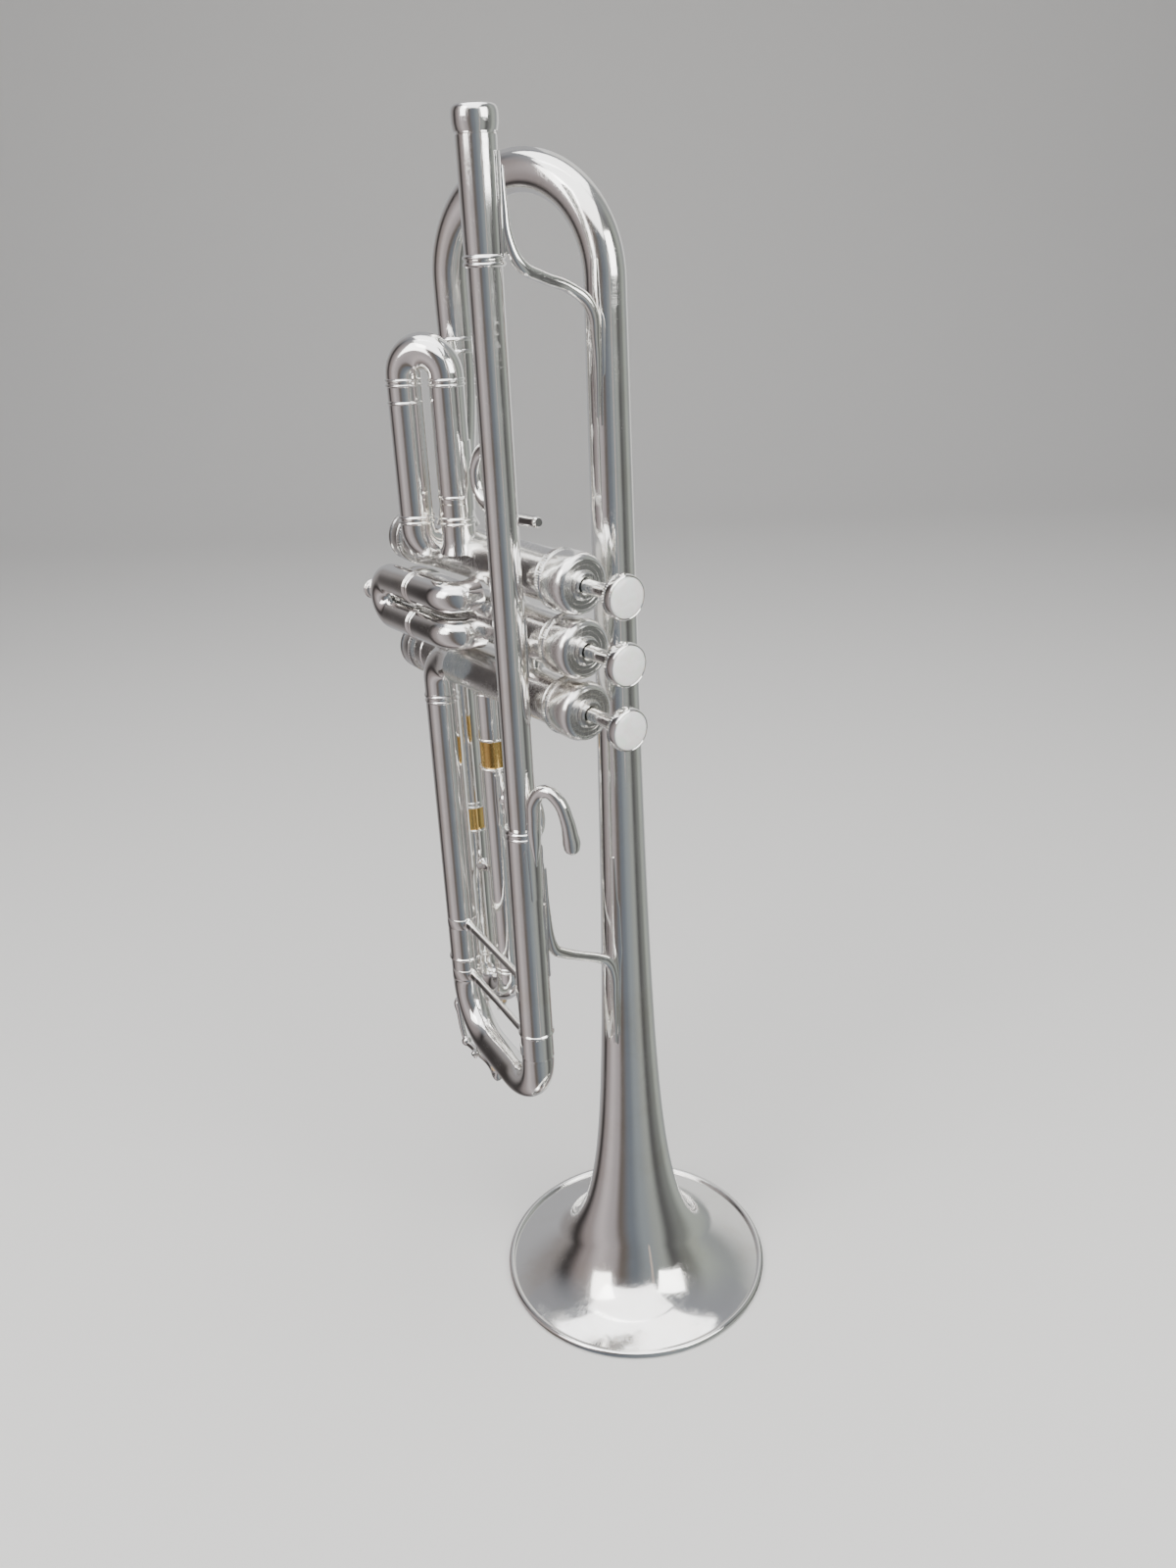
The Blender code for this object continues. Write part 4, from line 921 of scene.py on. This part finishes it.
def first_slide():
    inner, tube_radius = INNER_TUBE, VALVE_TUBE
    a = column("first_slide_sleeve", 0)
    a.y = low("first_slide_sleeve").y + 7 * MM
    b = column("first_slide_inner_tube", 0)
    ring_z, ring = 354 * MM, 0.55 * MM
    sleeve_top = high("first_slide_sleeve").z
    sleeve = Tube("first_slide_tube", a + UP * (sleeve_top + 0.1 * MM), -UP, tube_radius - 0.5 * MM)
    sleeve.run(0, tube_radius).bead(0.3 * MM, 1.1 * MM).to(ring_z + 4 * MM, tube_radius)
    sleeve.rings(ring, 1.4 * MM, 0.5 * MM).to(353 * MM, tube_radius)
    sleeve.bend((0, 1, 0), 8 * MM, 90, 14).run(4.4 * MM, tube_radius + 1 * MM)
    fit(sleeve.done(), SILVER, "horn", "first_slide_sleeve")
    stop_z = 363 * MM
    fixed = Tube("first_slide_stub", b + UP * (high("first_slide_inner_tube").z - 1 * MM), -UP, inner)
    fixed.to(stop_z - 0.1 * MM, inner).run(0, tube_radius).to(ring_z + 4 * MM, tube_radius)
    fixed.rings(ring, 1.4 * MM, 0.5 * MM)
    fixed.to(348 * MM, tube_radius).to(344 * MM, tube_radius + 1.4 * MM)
    fit(fixed.done(), SILVER, "horn", "first_slide_inner_tube")
    crook_z = high("first_valve_slide").z - (a - b).length / 2 - tube_radius
    slide = Tube("first_slide_bow", a + UP * (ring_z + 4.5 * MM), UP, inner)
    slide.to(sleeve_top + 0.3 * MM, inner).run(0, tube_radius).to(crook_z - 3.6 * MM, tube_radius)
    slide.rings(0.45 * MM, 1.2 * MM, 0.6 * MM)
    slide.to(crook_z, tube_radius).bend(b - a, (a - b).length / 2, 180, 32)
    slide.run(0.6 * MM).rings(0.45 * MM, 1.2 * MM, 0.6 * MM)
    slide.to(stop_z + 3 * MM, tube_radius).bead(0.3 * MM, 1.1 * MM).to(stop_z + 0.3 * MM, tube_radius)
    slide.run(0, inner + 0.1 * MM)
    fit(slide.done(), SILVER, "first_slide", "first_valve_slide")


def thumb_saddle():
    """The open U for the left thumb, with its foot on the first slide."""
    y = centre("thumb_saddle").y
    left = low("thumb_saddle").x + 2.3 * MM
    top = high("thumb_saddle").z - 2.3 * MM
    route = [
        (13.4, 0, 0, 1.6), (7.5, 0, -0.5, 2.2), (2, 0, -5, 2.4), (0, 0, -12.5, 2.5),
        (3.5, 0, -20, 2.4), (13.5, 0, -23.6, 2.3), (27.5, 0, -24, 2.2), (38.5, 0, -23.6, 2.0),
        (39.5, 0, -23.5, 1.5),
    ]
    saddle = rod("saddle_rod", *path((left, y, top), route), 8)
    b = column("first_slide_inner_tube", top - 12 * MM)
    side = Vector((0.6, 0.4, 0))
    plate = flange("saddle_plate", b, UP, side, VALVE_TUBE, 26 * MM, 8.6 * MM, 0.8 * MM)
    fit(join("thumb_rest", saddle, plate), SILVER, "first_slide", "thumb_saddle")


def second_slide():
    tube_radius, inner = 6.3 * MM, INNER_TUBE
    zs = []
    end_x = low("second_slide_sleeve_lower").x
    for name in ("lower", "upper"):
        cad_node = f"second_slide_sleeve_{name}"
        z = centre(cad_node).z
        y = low(cad_node).y + tube_radius
        zs.append(z)
        bend = 8 * MM
        bend_x = high(cad_node).x - tube_radius - bend
        tube = Tube(f"second_slide_tube_{name}", (end_x - 0.1 * MM, y, z), ALONG, tube_radius - 0.4 * MM)
        tube.run(0, tube_radius).rings(0.4 * MM, 1.2 * MM, 0.6 * MM)
        tube.run(bend_x - end_x - 2.9 * MM).bend((0, 1, 0), bend, 90, 14)
        tube.run(3.4 * MM, tube_radius + 0.6 * MM)
        fit(tube.done(), SILVER, "horn", cad_node)
    middle = (zs[0] + zs[1]) / 2
    crook = (zs[1] - zs[0]) / 2
    y = low("second_valve_slide").y + tube_radius
    inside = high("second_valve_slide").x
    crook_x = low("second_valve_slide").x + crook + tube_radius
    slide = Tube("second_slide_bow", (inside, y, zs[0]), -ALONG, inner)
    slide.run(inside - end_x + 0.3 * MM).run(0, tube_radius)
    slide.bead(0.3 * MM, 1.2 * MM).run(end_x - crook_x - 1.5 * MM).bend(UP, crook, 180, 28)
    slide.run(end_x - crook_x - 1.5 * MM).bead(0.3 * MM, 1.2 * MM).run(0, inner)
    slide.run(inside - end_x + 0.3 * MM)
    fit(slide.done(), SILVER, "second_slide", "second_valve_slide")
    knob_node = "second_slide_knob"
    knob = Tube("pull_knob", (high(knob_node).x + 1.4 * MM, y, middle), -ALONG, 3.2 * MM, 48)
    side = [(1.4, 2.3), (2.2, 1.8), (3.6, 1.7), (4.0, 2.9), (4.4, 3.9), (5.0, 4.1), (5.5, 3.7), (6.0, 3.7)]
    side += [(6.5, 4.1), (7.4, 3.9), (8.0, 3.2), (8.4, 2.0), (8.6, 0.6)]
    knob.turned(side)
    fit(knob.done(50), SILVER, "second_slide", knob_node)


def third_slide():
    tube_radius, inner = VALVE_TUBE, INNER_TUBE
    a = column("third_slide_inner_tube", 0)
    b = column("third_slide_sleeve", 0)
    top = high("third_slide_sleeve").z
    brass_top = 258 * MM
    a_end, b_end = 246 * MM, 219 * MM
    crook_z = low("third_valve_slide").z + tube_radius + (a - b).length / 2
    fixed = Tube("third_slide_inner", a + UP * (crook_z + 10 * MM), UP, inner)
    fixed.to(brass_top + 0.2 * MM, inner)
    fit(fixed.done(), BRASS, "horn", "third_slide_inner_tube")
    stub = Tube("third_slide_stub", a + UP * brass_top, UP, inner - 0.2 * MM)
    stub.run(0, tube_radius).bead(0.35 * MM, 1.2 * MM, 6).to(top - 12 * MM, tube_radius)
    stub.bead(0.4 * MM, 1.2 * MM).to(top - 4 * MM, tube_radius).to(top, tube_radius + 1.2 * MM)
    fit(stub.done(), SILVER, "horn")
    sleeve = Tube("third_slide_tube", b + UP * (b_end - 0.1 * MM), UP, tube_radius - 0.4 * MM)
    sleeve.run(0, tube_radius).rings(0.4 * MM, 1.3 * MM, 0.6 * MM)
    sleeve.to(top - 4 * MM, tube_radius).to(top, tube_radius + 1.2 * MM)
    piece = sleeve.done()
    spot = centre("valve_casing_3")
    start, end = low("valve_casing_3").x, high("valve_casing_3").x
    cutter = Tube("casing_bore", (start, spot.y, spot.z), ALONG, CASING_BORE).run(end - start).done()
    apply_modifier(piece, "BOOLEAN", object=cutter, operation="DIFFERENCE", solver="EXACT")
    bpy.data.objects.remove(cutter)
    fit(close_up(piece), SILVER, "horn", "third_slide_sleeve")
    exposed = Tube("third_slide_brass", b + UP * high("third_valve_slide").z, -UP, inner)
    exposed.to(208 * MM, inner)
    fit(exposed.done(), BRASS, "third_slide")
    slide = Tube("third_slide_bow", b + UP * 208.3 * MM, -UP, tube_radius - 0.5 * MM)
    slide.run(0, tube_radius).bead(0.35 * MM, 1.2 * MM, 6).to(crook_z + 6 * MM, tube_radius)
    slide.rings(0.4 * MM, 1.2 * MM, 0.6 * MM).to(crook_z, tube_radius)
    slide.bend(a - b, (a - b).length / 2, 180, 32).run(3 * MM)
    slide.rings(0.4 * MM, 1.2 * MM, 0.6 * MM)
    slide.to(a_end - 1.6 * MM, tube_radius).bead(0.35 * MM, 1.2 * MM, 6).run(0.3 * MM, inner + 0.15 * MM)
    fit(slide.done(), SILVER, "third_slide", "third_valve_slide")
    straight_brace_small("third_slide_stay", "third_slide_brace", b, a, tube_radius)


def straight_brace_small(name, cad_node, first, second, tube_radius):
    """The short stay between the legs of the third slide."""
    z = centre(cad_node).z
    way = (second - first).normalized()
    reach = (second - first).length - 2 * tube_radius
    stay = Tube(name, first + UP * z + way * (tube_radius - 0.4 * MM), way, 3.4 * MM, 32)
    stay.run(0.8 * MM, 3.2 * MM).run(1.2 * MM, 2.0 * MM).run(reach - 3.2 * MM).run(1.2 * MM, 3.2 * MM)
    stay.run(0.8 * MM, 3.4 * MM)
    fit(stay.done(50), SILVER, "third_slide", cad_node)


def finger_ring():
    spot = centre("finger_ring")
    outer = (high("finger_ring").x - low("finger_ring").x) / 2
    wire = 2 * MM
    deselect()
    bpy.ops.mesh.primitive_torus_add(
        major_radius=outer - wire,
        minor_radius=wire,
        major_segments=72,
        minor_segments=20,
        location=spot,
        rotation=(pi / 2, 0, 0),
    )
    ring = bpy.context.object
    settle()
    select_where(ring, lambda place: (place.xz - spot.xz).length < outer - wire)
    bpy.ops.transform.resize(value=(1.03, 1, 1.03), center_override=spot)
    mode("OBJECT")
    tube_axis = column("third_slide_inner_tube", spot.z)
    tube_radius = VALVE_TUBE
    neck = Tube("ring_neck", tube_axis + ALONG * (tube_radius - 0.3 * MM), ALONG, 3.4 * MM, 32)
    neck.run(0.9 * MM, 2.4 * MM).run(1.6 * MM, 1.9 * MM)
    plate = flange("ring_plate", tube_axis, UP, ALONG, tube_radius, 24 * MM, 8 * MM, 0.8 * MM)
    fit(join("finger_hoop", close_up(ring), neck.done(), plate), SILVER, "third_slide", "finger_ring")


# Water keys
def water_key(slide, route, ball, below, wire, drop, reach):
    """A rocking lever with a ball on it, whose cup holds a cork, and the saddle and pin that carry it."""
    name = f"{slide}_key"
    cork_node, lever_node, post_node = (f"{name}_{part}" for part in ("cork", "lever", "post"))
    pivot = centre(post_node)
    points, radii = path((pivot.x, pivot.y, low(post_node).z - below), route)
    bead = Tube(name + "_ball", Vector(points[ball]) - UP * (BALL - 0.1 * MM), UP, 0.5 * MM, 32)
    for angle in range(25, 156, 13):
        turn = radians(angle)
        bead.run(BALL * (cos(turn - radians(13)) - cos(turn)), BALL * sin(turn))
    lever = join(name + "_arm", rod(name + "_arm", points, radii, 8), bead.done(60))
    cork_spot = centre(cork_node)
    cork_foot = Vector((cork_spot.x, cork_spot.y, low(cork_node).z))
    cup = Tube(name + "_cup", cork_foot + UP * 0.6 * MM, -UP, 2.9 * MM, 40)
    cup.turned([(0.9, 3.0), (1.5, 2.6), (2.1, 1.7)])
    cup.outline([(drop, 1.6 * MM), (drop + 0.6 * MM, 2.2 * MM), (drop + 1.6 * MM, 2.2 * MM)])
    cup.run(0.5 * MM, 1.4 * MM)
    fit(join(name + "_arm", lever, cup.done(50)), SILVER, name, lever_node)
    cork = Tube(name + "_pad", cork_foot, UP, 2.4 * MM, 40)
    cork.turned([(0.2, 2.65), (1.6, 2.7), (2.2, 2.2)])
    fit(cork.done(50), CORK, name, cork_node)
    post_low, post_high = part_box(post_node)
    radius = (post_high.x - post_low.x) / 2
    post = Tube(name + "_saddle", Vector((pivot.x, pivot.y, post_high.z + reach)), -UP, radius * 1.5, 32)
    post.run(reach, radius * 1.25).run(0.7 * MM, radius)
    post.run(post_high.z - post_low.z - 1.3 * MM, radius * 0.9).run(0.6 * MM, radius * 0.6)
    parts = [post.done()]
    pin_z = post_low.z - 0.3 * MM
    for side in (1, -1):
        y = pivot.y + side * (wire + 0.9 * MM)
        cheek = Tube(name + "_cheek", (pivot.x, y, post_low.z + 1.2 * MM), -UP, 1.1 * MM, 24)
        cheek.run(1.5 * MM + wire, 1.1 * MM).run(0.8 * MM, 0.7 * MM)
        parts.append(cheek.done())
    pin = Tube(name + "_pin", (pivot.x, pivot.y - wire - 2.6 * MM, pin_z), (0, 1, 0), 0.9 * MM, 24)
    pin.run(0.5 * MM, 1.3 * MM).run(0.7 * MM).run(0, 0.7 * MM).run(2 * wire + 2.8 * MM)
    pin.run(0, 1.3 * MM).run(0.7 * MM).run(0.5 * MM, 0.9 * MM)
    parts.append(pin.done())
    fit(join(name + "_saddle", *parts), SILVER, f"{slide}_slide", post_node)


def water_keys():
    main_route = [
        (-20.5, 2, 20, 1.4), (-20.2, 2, 17.5, 2.3), (-19, 1.6, 13, 1.6), (-16.6, 1, 5, 1.4),
        (-13, 0.6, 0, 1.4), (-7, 0.3, -0.4, 1.4), (0, 0, 0, 1.7), (6, 0, -0.8, 1.4),
        (12, -1, -1.4, 1.4), (17, -2, -1.8, 2.0), (19, -2.2, -2, 1.8),
    ]
    third_route = [(-8, 0, 6.5, 1.5), (-6.6, 0, 3.4, 1.7), (-4, 0, 0.8, 1.3), (1, 0, 0, 1.5)]
    third_route += [(9, 0, 0, 1.2)]
    water_key("main", main_route, 4, 1.9 * MM, 1.8 * MM, 1.6 * MM, 3.6 * MM)
    water_key("third", third_route, 1, 1.7 * MM, 1.4 * MM, 0.6 * MM, 1.2 * MM)


# Studio
def room_bands(tree, place):
    """Soft light and dark upright bands of a room, by the bearing of a place seen from the trumpet. On the
    floor they are painted reflections; in the world they are the light around.
    """
    heading = radians(CAMERA_HEADING)
    parts = []
    for side in ((cos(heading), sin(heading), 0), (sin(heading), -cos(heading), 0)):
        turned = node(tree, "ShaderNodeVectorMath", {0: place, 1: side}, operation="DOT_PRODUCT")
        parts.append(turned.outputs["Value"])
    turn = math_node(tree, "ARCTAN2", *parts)
    share = math_node(tree, "ADD", math_node(tree, "DIVIDE", turn, 2 * pi), 0.5)
    bands = tree.nodes.new("ShaderNodeValToRGB")
    bands.color_ramp.interpolation = "EASE"
    stops = bands.color_ramp.elements
    for bearing, colour in ROOM_BANDS:
        if bearing in (-180, 180):
            stop = stops[0 if bearing < 0 else -1]
        else:
            stop = stops.new(bearing / 360 + 0.5)
        stop.color = (*colour, 1)
    tree.links.new(share, bands.inputs["Fac"])
    return bands.outputs["Color"]


def floor():
    """A sheet of pale paper that sweeps up behind the trumpet. To glossy rays it glows with painted
    reflection bands instead, so polished metal sees it darker.
    """
    deselect()
    heading = radians(CAMERA_HEADING)
    bpy.ops.mesh.primitive_plane_add(size=16)
    piece = bpy.context.object
    piece.name = "studio_floor"
    settle()
    middle = (CAD_BOX[0] + CAD_BOX[1]) / 2
    back = Vector((-sin(heading), cos(heading), 0))
    edge = Vector((middle.x, middle.y, 0)) + back * 1.7
    mode("EDIT")
    bpy.ops.mesh.select_all(action="SELECT")
    bpy.ops.mesh.bisect(plane_co=edge, plane_no=back, clear_outer=True)
    mode("OBJECT")
    select_where(piece, lambda place: abs((place - edge).dot(back)) < 0.001)
    rise = 0.8
    for i in range(12):
        first, second = radians(7.5 * i), radians(7.5 * (i + 1))
        step = back * rise * (sin(second) - sin(first)) + UP * rise * (cos(first) - cos(second))
        bpy.ops.mesh.extrude_region_move(TRANSFORM_OT_translate={"value": step})
    bpy.ops.mesh.extrude_region_move(TRANSFORM_OT_translate={"value": UP * 3})
    mode("OBJECT")
    bpy.ops.object.shade_smooth()
    material = bpy.data.materials.new("paper_with_painted_reflection")
    material.use_nodes = True
    tree = material.node_tree
    shader = tree.nodes["Principled BSDF"]
    shader.inputs["Base Color"].default_value = (0.78, 0.77, 0.75, 1)
    shader.inputs["Roughness"].default_value = 0.9
    shader.inputs["Specular IOR Level"].default_value = 0.1
    place = node(tree, "ShaderNodeTexCoord").outputs["Object"]
    spot = (middle.x, middle.y, 0)
    place = node(tree, "ShaderNodeVectorMath", {0: place, 1: spot}, operation="SUBTRACT").outputs["Vector"]
    # Painted reflection: glossy rays see the floor glow with the room's light and dark bands, not the lit
    # paper.
    shade = node(tree, "ShaderNodeEmission", {"Color": room_bands(tree, place)})
    path = node(tree, "ShaderNodeLightPath")
    both = node(tree, "ShaderNodeMixShader", {0: path.outputs["Is Glossy Ray"]})
    tree.links.new(shader.outputs[0], both.inputs[1])
    tree.links.new(shade.outputs[0], both.inputs[2])
    tree.links.new(both.outputs[0], tree.nodes["Material Output"].inputs["Surface"])
    piece.data.materials.append(material)


def studio_world():
    world = bpy.data.worlds.new("studio")
    bpy.context.scene.world = world
    world.use_nodes = True
    tree = world.node_tree
    background = tree.nodes["Background"]
    direction = node(tree, "ShaderNodeTexCoord").outputs["Generated"]
    height = node(tree, "ShaderNodeSeparateXYZ", {0: direction}).outputs["Z"]
    bands = room_bands(tree, direction)
    room = blend_colour(tree, ramp(tree, height, 0.45, 0.95), bands, (0.32, 0.33, 0.36))
    path = node(tree, "ShaderNodeLightPath").outputs["Is Camera Ray"]
    wall = blend_colour(tree, ramp(tree, height, 0, 0.3), (0.30, 0.295, 0.29), (0.66, 0.65, 0.64))
    tree.links.new(blend_colour(tree, path, room, wall), background.inputs["Color"])
    background.inputs["Strength"].default_value = 1


def lamp(name, bearing, distance, height, width, tall, brightness, colour=(1, 1, 1), aim=0.25):
    """A soft box. Its bearing is measured from the camera's side, anticlockwise from above."""
    turn = radians(CAMERA_HEADING - 90 + bearing)
    middle = (CAD_BOX[0] + CAD_BOX[1]) / 2
    spot = Vector((middle.x + distance * cos(turn), middle.y + distance * sin(turn), height))
    data = bpy.data.lights.new(name, "AREA")
    data.shape = "RECTANGLE"
    data.size = width
    data.size_y = tall
    data.energy = brightness * pi * width * tall
    data.color = colour
    made = bpy.data.objects.new(name, data)
    bpy.context.scene.collection.objects.link(made)
    made.location = spot
    made.rotation_euler = (Vector((middle.x, middle.y, aim)) - spot).to_track_quat("-Z", "Y").to_euler()
    made.visible_camera = False


def lights():
    lamp("overhead_box", -12, 0.75, 1.45, 1.7, 1.1, 3.4)
    lamp("window_box", -52, 0.95, 0.85, 0.5, 0.7, 5, (1.0, 0.99, 0.97), 0.3)
    lamp("button_box", 50, 0.95, 0.74, 0.6, 0.55, 6, (1.0, 1.0, 0.98), 0.35)
    lamp("warm_card", 24, 0.6, 0.33, 0.03, 0.6, 0.4, (1.0, 0.66, 0.45), 0.33)
    lamp("sky_box", 176, 0.12, 1.75, 1.5, 0.9, 3.6)


def camera():
    data = bpy.data.cameras.new("camera")
    data.lens = CAMERA_LENS
    made = bpy.data.objects.new("camera", data)
    bpy.context.scene.collection.objects.link(made)
    heading = Matrix.Rotation(radians(CAMERA_HEADING), 4, "Z")
    tilt = Matrix.Rotation(radians(CAMERA_TILT), 4, "X")
    roll = Matrix.Rotation(radians(CAMERA_ROLL), 4, "Z")
    made.matrix_world = Matrix.Translation(CAMERA_SPOT) @ heading @ tilt @ roll
    bpy.context.scene.camera = made


camera()
floor()
studio_world()
lights()
bell()
bow()
receiver()
lead_tube()
slide_sleeve("upper_sleeve", "upper_slide_sleeve", 4.4 * MM)
slide_sleeve("lower_sleeve", "lower_slide_sleeve", 4.4 * MM)
main_slide()
straight_brace("fixed_stay", "tuning_slide_brace", SLEEVE, "horn")
straight_brace("slide_stay", "main_slide_brace", CROOK, "main_slide")
bell_braces()
little_finger_hook()
for valve in (1, 2, 3):
    casing(valve)
    top_cap(valve)
    bottom_cap(valve)
    button(valve)
    for inside, look in ((f"piston_{valve}", NICKEL), (f"valve_spring_{valve}", STEEL)):
        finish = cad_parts[inside].data.materials
        finish.clear()
        finish.append(look)
knuckle("casing_knuckle_1_2", "valve_casing_1", "valve_casing_2")
knuckle("casing_knuckle_2_3", "valve_casing_2", "valve_casing_3")
casing_bracket()
elbow()
first_slide()
thumb_saddle()
second_slide()
third_slide()
finger_ring()
water_keys()
